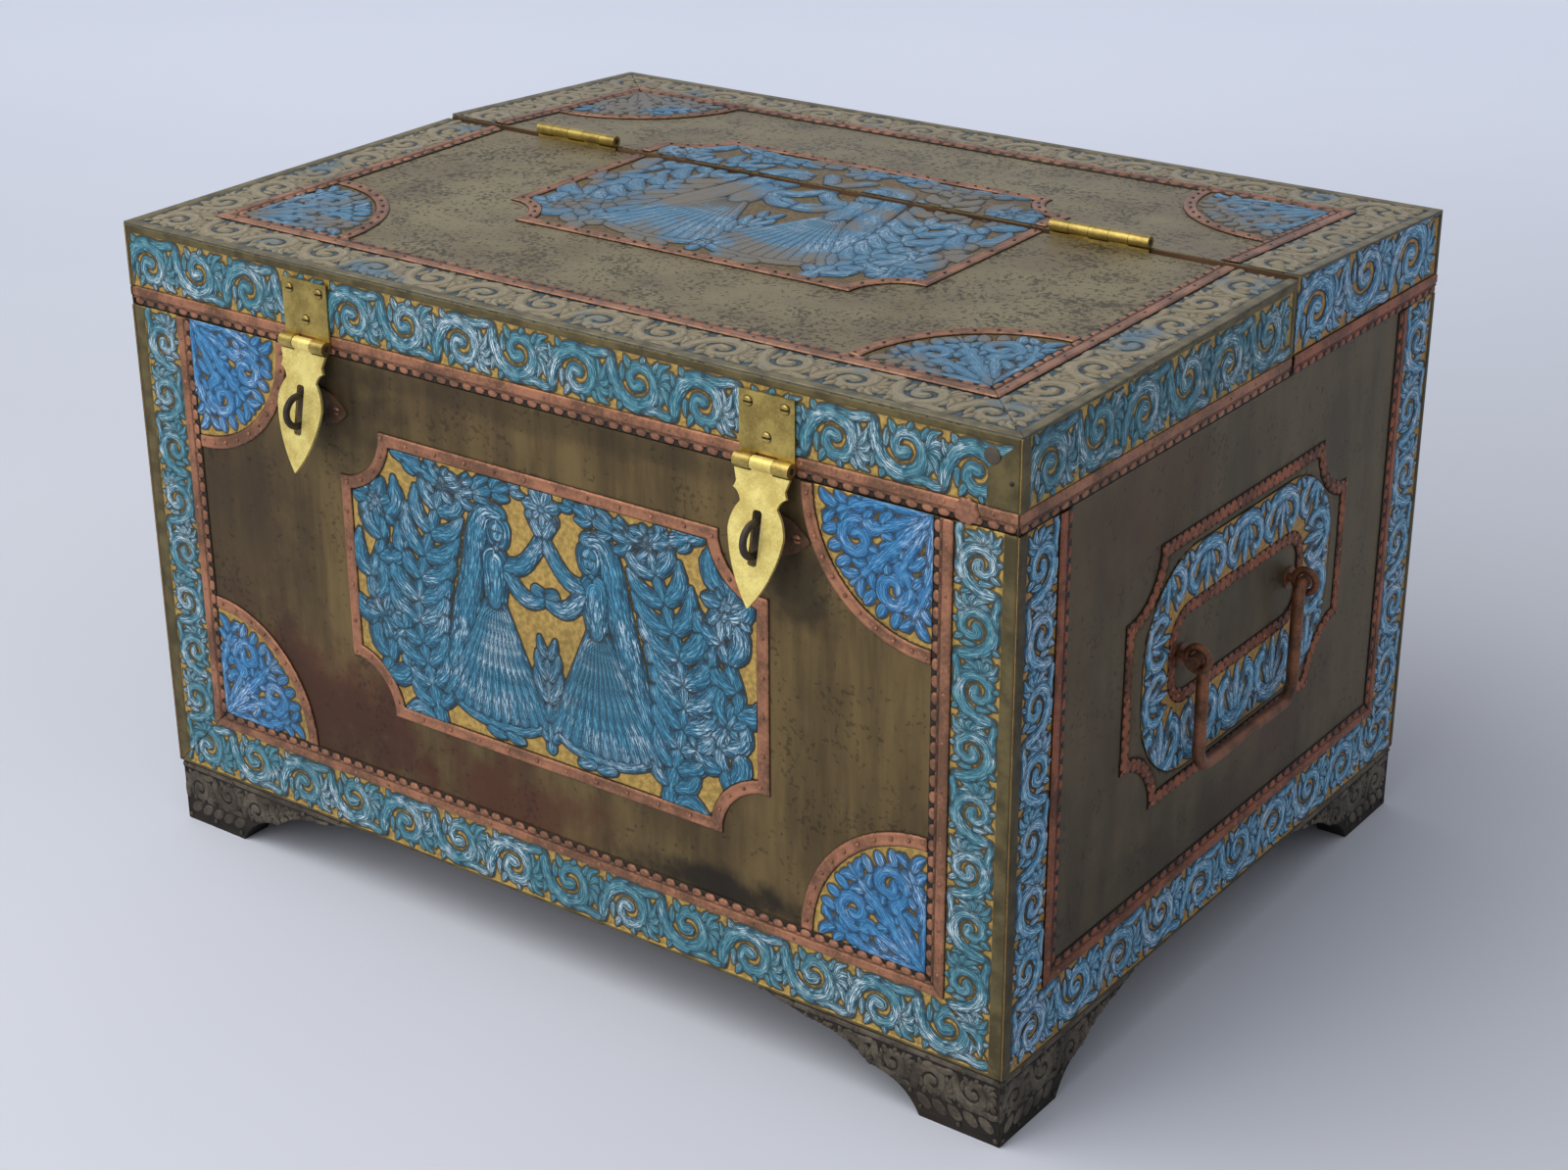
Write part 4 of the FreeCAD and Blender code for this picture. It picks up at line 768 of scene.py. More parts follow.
def emboss(name, node, face, pattern, finish, spacing, body, margins=None, grow=0.0, sunk=0.0, teeth=0.0, flap=0.0):
    """Builds the embossed plate for a node on a face. pattern gives a region's strokes."""
    level, regions = plates_on(node, face, sunk)
    low = np.min([outer.min(0) for outer, holes in regions], axis=0)
    high = np.max([outer.max(0) for outer, holes in regions], axis=0)
    all_points, all_corners, values, count = [], [], [], 0
    for outer, holes in regions:
        if np.ptp(outer, axis=0).min() < NARROW:
            continue
        loops = [outer] + holes
        spots, corners = net(loops, spacing)
        plain = plain_margin(spots, low, high, margins or {})
        if flap:
            wide = np.minimum(flap, 1.1 * (high[1] - spots[:, 1]))
            plain = np.maximum(plain, np.clip(wide - (high[0] - spots[:, 0]), -REACH, REACH))
        strokes = pattern(outer, low, high) if pattern else None
        if strokes:
            depth, gap, across, run = Measure(strokes, grow).at(spots, 14 * MM, REACH)
            share = leaf_height(depth, gap, across)
        else:
            depth, run = rim_measure(spots, loops)
            if teeth:
                notch = smooth_rise(np.abs(np.cos(math.pi * run / teeth)), 0.78, 0.98)
                depth = depth - TOOTH_DEPTH * notch * (depth < 2 * TOOTH_DEPTH)
            depth = np.minimum(depth, REACH)
            gap, across = np.full(len(spots), REACH), depth * 0
            share = lipped_height(depth)
        share = np.maximum(share, 0.92 * smooth_rise(plain, -0.3 * MM, 0.7 * MM))
        heights = level - RELIEF * (1 - share)
        rim = rim_edges(corners)
        used, rim_index = np.unique(rim, return_inverse=True)
        rim_index = rim_index.reshape(-1, 2)
        back_corners = filled(spots[used], rim_index.tolist(), loops)[1]
        base = count + len(spots)
        sides = []
        for (a, b), (c, d) in zip(rim, rim_index):
            sides += [(count + b, count + a, base + c), (count + b, base + c, base + d)]
        all_points.append(np.column_stack([spots, heights]))
        all_points.append(np.column_stack([spots[used], np.full(len(used), level - PLATE_BACK)]))
        all_corners.append(corners + count)
        all_corners.append(np.array(sides))
        all_corners.append(base + back_corners[:, ::-1])
        edge_values = np.tile([-REACH, REACH, 0, 0, -REACH], (len(used), 1))
        values.append(np.column_stack([depth, gap, across * MM, run, plain]))
        values.append(edge_values)
        count = base + len(used)
    points, corners = face.solid(np.vstack(all_points)), np.vstack(all_corners)
    made = mesh_object(name, points, corners, finish)
    numbers = np.vstack(values) / MM
    add_attribute(made, "chased", numbers[:, :3])
    add_attribute(made, "painted", numbers[:, [3, 4, 4]])
    print(f"{name}: {len(corners)} triangles")
    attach(made, body)
    return made


def plain_margin(spots, low, high, margins):
    """How deep each point lies in the plain edge along the named sides of the whole plate."""
    plain = np.full(len(spots), -REACH)
    sides = {
        "left": spots[:, 0] - low[0],
        "right": high[0] - spots[:, 0],
        "low": spots[:, 1] - low[1],
        "high": high[1] - spots[:, 1],
    }
    for side, width in margins.items():
        plain = np.maximum(plain, width - sides[side])
    return np.clip(plain, -REACH, REACH)


def mesh_object(name, points, corners, finish):
    mesh = bpy.data.meshes.new(name)
    mesh.vertices.add(len(points))
    mesh.vertices.foreach_set("co", np.asarray(points, np.float32).ravel())
    mesh.loops.add(len(corners) * 3)
    mesh.loops.foreach_set("vertex_index", corners.astype(np.int32).ravel())
    mesh.polygons.add(len(corners))
    mesh.polygons.foreach_set("loop_start", np.arange(0, len(corners) * 3, 3, dtype=np.int32))
    mesh.polygons.foreach_set("use_smooth", np.ones(len(corners), bool))
    mesh.update()
    mesh.validate()
    mesh.materials.append(finish)
    made = bpy.data.objects.new(name, mesh)
    bpy.context.scene.collection.objects.link(made)
    return made


def add_attribute(made, name, rows):
    layer = made.data.attributes.new(name, "FLOAT_VECTOR", "POINT")
    layer.data.foreach_set("vector", np.ascontiguousarray(rows, np.float32).ravel())


# %% [markdown]
# ## The finish of painted relief
# The paint covers the leaves and stops at the gilt ground; a dark line of painted shade runs along
# that edge and in the joints between leaves. On the leaves the brush followed the form, so light
# hairs of paint run along each stroke, and painted shading makes each leaf lighter in its middle
# and darker at its sides.
# One group turns the measured numbers into masks, and every painted material uses it.

# %% Group: masks of the painted relief
def make_paint_masks():
    made, tree, given, out = new_group(
        "paint_masks",
        {"Vector": "Vector"},
        {
            "Paint": "Float",
            "Line": "Float",
            "Hair": "Float",
            "Ridge_shade": "Float",
            "Fleck": "Float",
            "Plain": "Float",
        },
    )
    chased = tree.add("ShaderNodeSeparateXYZ", {}, Vector=tree.attribute("chased").outputs["Vector"])
    depth, gap, across = chased.outputs
    painted = tree.add("ShaderNodeSeparateXYZ", {}, Vector=tree.attribute("painted").outputs["Vector"])
    run, plain = painted.outputs[0], painted.outputs[1]
    wobble = tree.calc("SUBTRACT", tree.noise(given["Vector"], 420.0, 2.0, 0.5), 0.5)
    edge = tree.calc("ADD", depth, tree.calc("MULTIPLY", wobble, 0.5))
    tree.put(out["Paint"], tree.rise(edge, 0.0, 0.3))
    # Painted shade: a dark line along the paint's edge, and in the joints between leaves.
    outer_line = tree.calc("ABSOLUTE", tree.calc("ADD", edge, 0.25))
    outline = tree.calc("SUBTRACT", 1.0, tree.rise(outer_line, 0.25, 0.95))
    joint = tree.calc("MULTIPLY", tree.calc("SUBTRACT", 1.0, tree.rise(gap, 0.3, 1.7)), tree.rise(edge, 0.0, 0.3))
    tree.put(out["Line"], tree.calc("MAXIMUM", outline, tree.calc("MULTIPLY", joint, 0.85)))
    # Painted shading across each leaf: 1 along its middle, 0 at its sides.
    tree.put(out["Ridge_shade"], tree.calc("SUBTRACT", 1.0, tree.calc("ABSOLUTE", across)))
    flow = tree.add("ShaderNodeCombineXYZ")
    tree.put(flow.inputs[0], tree.calc("MULTIPLY", across, 5.5))
    tree.put(flow.inputs[1], tree.calc("MULTIPLY", run, 0.06))
    tree.put(flow.inputs[2], tree.noise(given["Vector"], 30.0, 1.0, 0.5))
    tree.put(out["Hair"], tree.noise(flow.outputs[0], 2.2, 5.0, 0.65))
    tree.put(out["Fleck"], tree.noise(given["Vector"], 34.0, 4.0, 0.62))
    tree.put(out["Plain"], tree.rise(plain, -0.15, 0.15))
    return made


PAINT_MASKS = make_paint_masks()


def make_paint(name, dark, paint, light, gold, edge, hair=0.5, white=0.5, worn=0.0, worn_tint=None, shade_line_share=0.78):
    """worn is the share of the leaves that is rubbed down to worn_tint."""
    material, tree, shader, place = new_material(name, specular=0.4)
    masks = tree.group(PAINT_MASKS, Vector=place).outputs
    hairs = masks["Hair"]
    # The mid tone mixes the paint's own brush hairs with painted shading that darkens each leaf's sides.
    body = tree.calc("MULTIPLY_ADD", masks["Ridge_shade"], 0.14, tree.calc("MULTIPLY", hairs, 0.92))
    colour = tree.mix(tree.rise(body, 0.38, 0.60), dark, paint)
    # Light paint streaks follow the hairs, and a painted highlight is added along each leaf's middle.
    streaks_and_highlight = tree.calc("MULTIPLY_ADD", masks["Ridge_shade"], 0.09, hairs)
    glow = tree.calc("MULTIPLY", tree.rise(streaks_and_highlight, 0.56, 0.70), hair)
    colour = tree.mix(glow, colour, light)
    wisp = tree.calc("MULTIPLY", tree.rise(masks["Fleck"], 0.46, 0.62), tree.rise(streaks_and_highlight, 0.57, 0.68))
    colour = tree.mix(tree.calc("MULTIPLY", wisp, white), colour, rgb(0.90, 0.93, 0.95))
    if worn:
        rubbed = tree.calc("ADD", tree.noise(place, 16.0, 6.0, 0.62), tree.calc("MULTIPLY", hairs, 0.25))
        rubbed = tree.rise(rubbed, 0.78 - 0.4 * worn, 0.90 - 0.4 * worn)
        colour = tree.mix(rubbed, colour, worn_tint)
    fine = tree.noise(place, 300.0, 4.0, 0.6)
    ground = tree.mix(tree.rise(fine, 0.35, 0.65), gold, tuple(c * 0.62 for c in gold[:3]) + (1,))
    colour = tree.mix(masks["Paint"], ground, colour)
    # The painted shade line along the leaves' edges and joints.
    line = tree.calc("MULTIPLY", masks["Line"], shade_line_share)
    colour = tree.mix(line, colour, rgb(0.08, 0.12, 0.14))
    rubbed_edge = tree.mix(tree.rise(tree.noise(place, 60.0, 5.0, 0.6), 0.35, 0.65), edge, tuple(c * 0.5 for c in edge[:3]) + (1,))
    colour = tree.mix(masks["Plain"], colour, rubbed_edge)
    grime = tree.rise(tree.noise(place, 7.0, 5.0, 0.6), 0.5, 0.72)
    colour = tree.mix(tree.calc("MULTIPLY", grime, 0.25), colour, rgb(0.20, 0.22, 0.20))
    tree.put(shader.inputs["Base Color"], colour)
    bare = tree.calc("MAXIMUM", tree.calc("SUBTRACT", 1.0, masks["Paint"]), masks["Plain"])
    tree.put(shader.inputs["Metallic"], tree.calc("MULTIPLY", bare, 0.55))
    tree.put(shader.inputs["Roughness"], tree.calc("MULTIPLY_ADD", fine, 0.2, 0.38))
    height = tree.calc("ADD", tree.calc("MULTIPLY", hairs, 0.7), tree.calc("MULTIPLY", fine, 0.5))
    bump(tree, shader, height, 0.0003, 0.6)
    return material


def make_relief_metal(name, light, dark, ground, metallic=0.5, roughness=0.45, shade_line_share=0.7):
    """Bare metal with relief and painted shade: darker where it lies low and along its outlines."""
    material, tree, shader, place = new_material(name, metallic=metallic, specular=0.4)
    masks = tree.group(PAINT_MASKS, Vector=place).outputs
    fine = tree.noise(place, 420.0, 4.0, 0.6)
    clouds = tree.noise(place, 42.0, 6.0, 0.6)
    tone = tree.calc("ADD", tree.calc("MULTIPLY", clouds, 0.7), tree.calc("MULTIPLY", fine, 0.3))
    colour = tree.mix(tree.rise(tone, 0.38, 0.62), dark, light)
    # Painted shade: the low ground takes the dark ground colour, and a dark line follows the outlines.
    colour = tree.mix(masks["Paint"], ground, colour)
    colour = tree.mix(tree.calc("MULTIPLY", masks["Line"], shade_line_share), colour, rgb(0.10, 0.08, 0.07))
    tree.put(shader.inputs["Base Color"], colour)
    tree.put(shader.inputs["Roughness"], tree.calc("MULTIPLY_ADD", fine, 0.3, roughness - 0.15))
    bump(tree, shader, fine, 0.0003, 0.7)
    return material


# The third colour of each is the painted shade of the low ground between scallops, teeth and leaves.
front_copper = make_relief_metal("front_copper", rgb(0.70, 0.48, 0.36), rgb(0.45, 0.32, 0.24), rgb(0.22, 0.17, 0.12))
end_copper = make_relief_metal("end_copper", rgb(0.64, 0.38, 0.26), rgb(0.37, 0.23, 0.16), rgb(0.10, 0.08, 0.07))
top_copper = make_relief_metal("top_copper", rgb(0.66, 0.48, 0.38), rgb(0.45, 0.33, 0.26), rgb(0.16, 0.13, 0.11))
foot_bronze = make_relief_metal(
    "foot_bronze", rgb(0.44, 0.40, 0.34), rgb(0.27, 0.24, 0.20), rgb(0.22, 0.19, 0.16), 0.5, 0.5, 0.4
)
GOLD = rgb(0.80, 0.66, 0.36)
EDGE_BRASS = rgb(0.44, 0.39, 0.25)
band_paint = make_paint(
    "band_paint", rgb(0.07, 0.23, 0.31), rgb(0.20, 0.46, 0.53), rgb(0.56, 0.74, 0.76), GOLD, EDGE_BRASS, 0.85, 1.5
)
# The ends' own paint with its white strokes; its mid tone is also raised as painted light, since the lamps leave the
# ends in shade.
end_paint = make_paint(
    "end_paint", rgb(0.05, 0.21, 0.32), rgb(0.22, 0.54, 0.71), rgb(0.76, 0.91, 0.95), rgb(0.76, 0.59, 0.31),
    rgb(0.36, 0.32, 0.22), 1.25, 2.0, shade_line_share=0.9
)
fan_paint = make_paint(
    "fan_paint", rgb(0.07, 0.25, 0.40), rgb(0.15, 0.45, 0.67), rgb(0.46, 0.72, 0.85), GOLD, EDGE_BRASS, 0.8, 0.7
)
medallion_paint = make_paint(
    "medallion_paint", rgb(0.05, 0.19, 0.27), rgb(0.12, 0.39, 0.50), rgb(0.42, 0.70, 0.82), GOLD, EDGE_BRASS, 0.8, 0.7,
    shade_line_share=0.9
)
top_band_paint = make_paint(
    "top_band_paint", rgb(0.40, 0.38, 0.31), rgb(0.55, 0.50, 0.39), rgb(0.64, 0.60, 0.50), rgb(0.36, 0.42, 0.44),
    rgb(0.52, 0.48, 0.36), 0.5, 0.1, 0.22, rgb(0.36, 0.45, 0.50), 0.5
)
top_fan_paint = make_paint(
    "top_fan_paint", rgb(0.16, 0.31, 0.43), rgb(0.28, 0.47, 0.59), rgb(0.50, 0.64, 0.71), rgb(0.50, 0.42, 0.26),
    EDGE_BRASS, 0.6, 0.4, 0.50, rgb(0.43, 0.41, 0.37), 0.85
)
print("painted finishes made")

# %% [markdown]
# ## Patterns: the running scroll
# The bands carry one scroll over and over: a stem that winds from edge to edge, curls into a
# volute in each bend and throws leaves into the hollows. It is drawn once in shares of
# the band's width, every second one is turned over, and they are laid end to end.

# %% The scroll and its run along a band
SCROLL_LENGTH = 1.31


def one_scroll():
    volute = [
        (-0.04, 0.10), (0.00, 0.42), (0.16, 0.72), (0.48, 0.86), (0.79, 0.74), (0.90, 0.47),
        (0.77, 0.22), (0.51, 0.18), (0.37, 0.35), (0.44, 0.53), (0.57, 0.50),
    ]
    made = [
        stem(volute, (0.09, 0.13, 0.14, 0.14, 0.13, 0.12, 0.11, 0.10, 0.09, 0.09, 0.11), 40),
        stem([(0.60, 0.90), (0.90, 0.88), (1.12, 0.93), (1.27, 0.90)], (0.09, 0.075)),
    ]
    root = (0.95, 0.40)
    for middle, tip, half in (
        ((1.02, 0.62), (0.97, 0.80), 0.065),
        ((1.10, 0.54), (1.17, 0.77), 0.08),
        ((1.14, 0.38), (1.25, 0.52), 0.08),
        ((1.12, 0.24), (1.28, 0.25), 0.08),
        ((1.03, 0.13), (1.20, 0.04), 0.075),
    ):
        made.append(leaf([root, middle, tip], half, lobes=2, root=0.7))
    for foot, tip, half in (
        ((0.02, 0.55), (-0.07, 0.84), 0.075),
        ((0.20, 0.80), (0.11, 0.98), 0.07),
        ((0.86, 0.24), (0.96, 0.04), 0.065),
        ((0.62, 0.16), (0.66, 0.00), 0.065),
        ((0.38, 0.24), (0.26, 0.04), 0.07),
        ((0.20, 0.42), (0.20, 0.18), 0.055),
    ):
        made.append(leaf([foot, tip], half, root=0.9, tip=0.3, count=5))
    return made


def scroll_run(path, width):
    """Scrolls laid end to end along a path, with their up side to its left."""
    steps = np.linalg.norm(np.diff(path, axis=0), axis=1)
    miles = np.concatenate([[0], np.cumsum(steps)])
    count = max(1, round(miles[-1] / (SCROLL_LENGTH * width)))
    stretch = miles[-1] / (count * SCROLL_LENGTH * width)
    tangents = np.gradient(path, miles, axis=0)
    made = []
    for number in range(count):

        def place(points):
            up = 1 - points[:, 1] if number % 2 else points[:, 1]
            at = (number * SCROLL_LENGTH + points[:, 0]) * width * stretch
            x, y = (np.interp(at, miles, path[:, i]) for i in (0, 1))
            tx, ty = (np.interp(at, miles, tangents[:, i]) for i in (0, 1))
            beyond = np.where(at < 0, at, np.maximum(at - miles[-1], 0))
            side = (up - 0.5) * width
            return np.stack([x + tx * beyond - ty * side, y + ty * beyond + tx * side], 1)

        made += [s.put(place, width) for s in one_scroll()]
    return made


def band_pattern(margins, width_share=0.96):
    """Each band of a plate gets a run of scrolls along its longer side."""

    def pattern(outer, low, high):
        near, far = outer.min(0).copy(), outer.max(0).copy()
        for side, width in margins.items():
            axis = 0 if side in ("left", "right") else 1
            if side in ("left", "low") and near[axis] - low[axis] < 1 * MM:
                near[axis] += width
            if side in ("right", "high") and high[axis] - far[axis] < 1 * MM:
                far[axis] -= width
        size = far - near
        middle = (near + far) / 2
        if size[0] > size[1]:
            path = np.linspace((near[0], middle[1]), (far[0], middle[1]), 40)
        else:
            path = np.linspace((middle[0], near[1]), (middle[0], far[1]), 40)
        return scroll_run(path, size.min() * width_share)

    return pattern


# %% Copper strips with a ridge and a row of scallops
def strip_pattern(outer, low, high):
    """Scallops point to the middle of the face, or down where the strip stands alone."""
    if len(outer) > 4:
        return None
    near, far = outer.min(0), outer.max(0)
    along = int(far[1] - near[1] > far[0] - near[0])
    size, middle = far - near, (near + far) / 2
    wide = size[1 - along]
    inward = np.sign(((low + high) / 2 - middle)[1 - along].round(4)) or -1

    def place(points):
        made = np.empty_like(points)
        made[:, along] = near[along] + points[:, 0]
        made[:, 1 - along] = middle[1 - along] + inward * (points[:, 1] - wide / 2)
        return made

    flat, ridge = 0.29 * wide, 0.60 * wide
    made = [Stroke([(0, flat), (size[along], flat)], [0.30 * wide] * 2)]
    made.append(Stroke([(0, ridge), (size[along], ridge)], [0.09 * wide] * 2))
    count = max(1, round(size[along] / SCALLOP_PITCH))
    pitch = size[along] / count
    for number in range(count):
        at = (number + 0.5) * pitch
        lobe = [(at - 0.10 * pitch, 0.75 * wide), (at + 0.10 * pitch, 0.75 * wide)]
        made.append(Stroke(lobe, [0.225 * wide] * 2))
    return [s.put(place, 1) for s in made]


SCALLOP_PITCH = 10.5 * MM


# %% C scrolls round the end medallion
def c_scroll():
    bow = [
        (-0.16, -0.06), (-0.30, -0.24), (-0.43, -0.04), (-0.32, 0.26), (0.0, 0.38), (0.32, 0.26), (0.43, -0.04),
        (0.30, -0.24), (0.16, -0.06),
    ]
    made = [stem(bow, (0.09, 0.09, 0.10, 0.12, 0.13, 0.12, 0.10, 0.09, 0.09), 36)]
    for x in (-0.16, 0, 0.16):
        made.append(leaf([(x * 0.5, 0.20), (x * 1.2, -0.10), (x * 1.7, -0.40)], 0.085, root=0.6))
    for side in (-1, 1):
        made.append(leaf([(side * 0.36, 0.2), (side * 0.46, 0.42)], 0.07, root=0.9, tip=0.4, count=5))
    return made


def ring_pattern(node, face):
    """C scrolls round the ring between the outer outline and the inner hole."""

    def pattern(outer, low, high):
        level, regions = plates_on(node, face)
        hole = regions[0][1][0]
        hole_low, hole_high = hole.min(0), hole.max(0)
        made = []
        sides = (
            (5, (low[0], high[0]), (hole_high[1], high[1]), 0, 1),
            (5, (low[0], high[0]), (low[1], hole_low[1]), 0, -1),
            (2, (hole_low[1] - 4 * MM, hole_high[1] + 4 * MM), (low[0], hole_low[0]), 1, -1),
            (2, (hole_low[1] - 4 * MM, hole_high[1] + 4 * MM), (hole_high[0], high[0]), 1, 1),
        )
        for count, (start, end), (inner, rim), axis, way in sides:
            wide, tall = (end - start) / count, abs(rim - inner)
            for number in range(count):
                middle = np.zeros(2)
                middle[axis], middle[1 - axis] = start + (number + 0.5) * wide, (inner + rim) / 2

                def place(points):
                    spots = np.empty_like(points)
                    spots[:, axis] = middle[axis] + points[:, 0] * wide * 0.98
                    spots[:, 1 - axis] = middle[1 - axis] + way * (1.12 * points[:, 1] - 0.06) * tall
                    return spots

                made += [s.put(place, min(wide, tall)) for s in c_scroll()]
        return made

    return pattern


# %% Feet with a scroll between two beads
def foot_pattern(outer, low, high):
    near, far = outer.min(0), outer.max(0)
    top = far[1] - 4 * MM
    path = np.linspace((near[0] + 3 * MM, top - 15 * MM), (far[0] - 3 * MM, top - 15 * MM), 40)
    made = scroll_run(path, 24 * MM)
    made.append(Stroke([(near[0], top), (far[0], top)], [1.6 * MM] * 2))
    toe = near[0] if near[0] < (low + high)[0] / 2 else far[0]
    way = np.sign((near + far)[0] / 2 - toe)
    for number in range(5):
        spot = np.array([toe + way * (8 + 11 * number) * MM, near[1] + 9 * MM])
        made.append(leaf([spot, spot + np.array([way * 6, 5]) * MM], 3.4 * MM, root=0.8, tip=0.5, count=6))
    return made


# %% Fans: a palmette that opens from the corner
def palmette():
    """Drawn in shares of the radius, with the corner at the origin."""
    made = []
    for angle, reach_share, half, bend in (
        (9, 0.95, 0.065, 0.10), (45, 0.97, 0.080, 0.0), (81, 0.95, 0.065, -0.10),
    ):
        a = math.radians(angle)
        ahead, side = np.array([math.cos(a), math.sin(a)]), np.array([-math.sin(a), math.cos(a)])
        rib = [ahead * 0.02, ahead * reach_share * 0.5 - side * bend * 0.6, ahead * reach_share + side * bend * 0.5]
        made.append(leaf(rib, half, root=0.45, belly=0.55, count=16))
        for share in (0.36, 0.54, 0.72, 0.86):
            foot = ahead * reach_share * share
            for way in (-1, 1):
                tip = foot + ahead * 0.13 + side * way * (0.17 - 0.05 * share)
                made.append(leaf([foot, (foot + tip) / 2 + ahead * 0.03, tip], 0.038, root=0.7, count=8))
    for angle, way in ((27, 1), (63, -1)):
        a = math.radians(angle)
        middle = np.array([math.cos(a), math.sin(a)]) * 0.72
        turns = np.linspace(math.radians(angle + 190), math.radians(angle + 190 + way * 440), 26)
        radii = np.linspace(0.17, 0.045, 26)
        curl = middle + np.stack([np.cos(turns) * radii, np.sin(turns) * radii], 1)
        foot = np.array([math.cos(a), math.sin(a)]) * 0.16
        made.append(Stroke(np.vstack([[foot], curl]), np.concatenate([[0.035], np.linspace(0.052, 0.04, 26)])))
        for lean in (-0.14, 0.0, 0.14):
            b = a + lean
            foot, tip = (np.array([math.cos(b), math.sin(b)]) * r for r in (0.88, 0.985))
            made.append(leaf([foot, tip], 0.04, root=0.8, count=6))
    return made


def fan_corner(outer):
    """The corner of a quarter disc and the ways to its middle."""
    low, high = outer.min(0), outer.max(0)
    corners = [(x, y) for x in (low[0], high[0]) for y in (low[1], high[1])]
    missing = max(corners, key=lambda c: np.linalg.norm(outer - np.array(c), axis=1).min())
    corner = low + high - np.array(missing)
    return corner, np.sign(np.array(missing) - corner), high[0] - low[0]


def fan_pattern(outer, low, high):
    corner, ways, radius = fan_corner(outer)
    return [s.put(lambda p: corner + p * ways * radius * 0.98, radius * 0.98) for s in palmette()]


# %% [markdown]
# ## Patterns: dancers, fronds and flowers
# The medallions show two dancers in long pleated skirts, a little tree between them, palm
# fronds, flowering vines and a garland. Their faces are plain and calm: an oval, two lowered
# eyes and a small mouth. Everything is drawn from the same strokes, in millimetres.

# %% Parts of the pictures
def frond(foot, middle, tip, leaves, length, half=2.2, lean=50):
    """A rib with a row of leaflets on both sides."""
    rib = smooth_line([foot, middle, tip], 24)
    made = [Stroke(rib, np.linspace(half, half * 0.5, 24))]
    for share in np.linspace(0.06, 0.95, leaves):
        at = share * 23
        i = min(int(at), 22)
        here = rib[i] + (rib[i + 1] - rib[i]) * (at - i)
        ahead = math.atan2(*(rib[i + 1] - rib[i])[::-1])
        size = length * (0.62 + 0.38 * math.sin(math.pi * min(1, share * 1.1)))
        for way in (-1, 1):
            a = ahead + way * math.radians(lean)
            b = ahead + way * math.radians(lean * 0.35)
            bend = here + 0.55 * size * np.array([math.cos(a), math.sin(a)])
            end = bend + 0.5 * size * np.array([math.cos(b), math.sin(b)])
            made.append(leaf([here, bend, end], size * 0.16, root=0.6, count=8))
    return made


def flower(x, y, size, petals=7):
    made = [dot(x, y, size * 0.26)]
    for number in range(petals):
        a = 2 * math.pi * number / petals + 0.3
        way = np.array([math.cos(a), math.sin(a)])
        made.append(leaf([np.array([x, y]) + way * size * 0.25, np.array([x, y]) + way * size], size * 0.26, tip=0.6, belly=0.7, count=6))
    return made


def vine(points, half, leaf_size, count=9):
    """A winding stem with leaves by turns left and right."""
    line = smooth_line(points, 40)
    made = [Stroke(line, np.linspace(half, half * 0.7, 40))]
    for number, at in enumerate(np.linspace(3, 36, count)):
        i = int(at)
        ahead = math.atan2(*(line[i + 1] - line[i])[::-1])
        way = 1 if number % 2 else -1
        a = ahead + way * math.radians(58)
        b = ahead + way * math.radians(10)
        bend = line[i] + leaf_size * 0.6 * np.array([math.cos(a), math.sin(a)])
        tip = bend + leaf_size * 0.6 * np.array([math.cos(b), math.sin(b)])
        made.append(leaf([line[i], bend, tip], leaf_size * 0.24, lobes=3, root=0.5, count=12))
    return made


def dancer(x, base, height, facing):
    """A standing figure in a long pleated skirt and a veil, one arm raised and one held out."""
    k = height / 160

    def at(across, up):
        return x + facing * across * k, base + up * k

    made = []
    for number in range(11):
        spread = (number - 5) / 5
        hem = at(-4 + spread * 42, 6 + 5 * abs(spread))
        knee = at(-2 + spread * 25, 45)
        made.append(leaf([at(spread * 5, 92), knee, hem], 5.4 * k, root=0.25, tip=0.75, belly=0.8, count=14))
    made.append(stem([at(-42, 10), at(-22, 2), at(0, 0), at(22, 2), at(36, 9)], (2.6 * k, 2.6 * k)))
    for foot in (-6, 10):
        made.append(leaf([at(foot - 3, -4), at(foot + 8, -7)], 3.4 * k, root=0.9, tip=0.4, count=5))
    made.append(stem([at(0, 90), at(1, 104), at(1, 118)], (7.5 * k, 9.5 * k, 11.5 * k), 8))
    made.append(stem([at(2, 120), at(3, 128)], (4 * k, 4 * k), 4))
    veil = [at(6, 151), at(-6, 150), at(-13, 136), at(-18, 110), at(-27, 75), at(-40, 36)]
    made.append(stem(veil, (5 * k, 7.5 * k, 8 * k, 9 * k, 9.5 * k, 5 * k), 24))
    head = stem([at(4.5, 136.5), at(4.5, 141)], (8.6 * k, 9.6 * k), 4)
    made.append(head)
    made.append(stem([at(10, 116), at(28, 124), at(52, 158)], (5.2 * k, 4.6 * k, 3.6 * k), 14))
    made.append(stem([at(10, 112), at(28, 98), at(50, 106)], (5.2 * k, 4.6 * k, 3.4 * k), 14))
    for eye in (1.6, 7.6):
        made.append(stem([at(eye - 1.7, 139.6), at(eye, 138.9), at(eye + 1.7, 139.6)], (0.25 * k, 0.25 * k), 6, True))
    made.append(stem([at(2.7, 132.6), at(4.6, 132.1), at(6.5, 132.6)], (0.25 * k, 0.25 * k), 6, True))
    return made


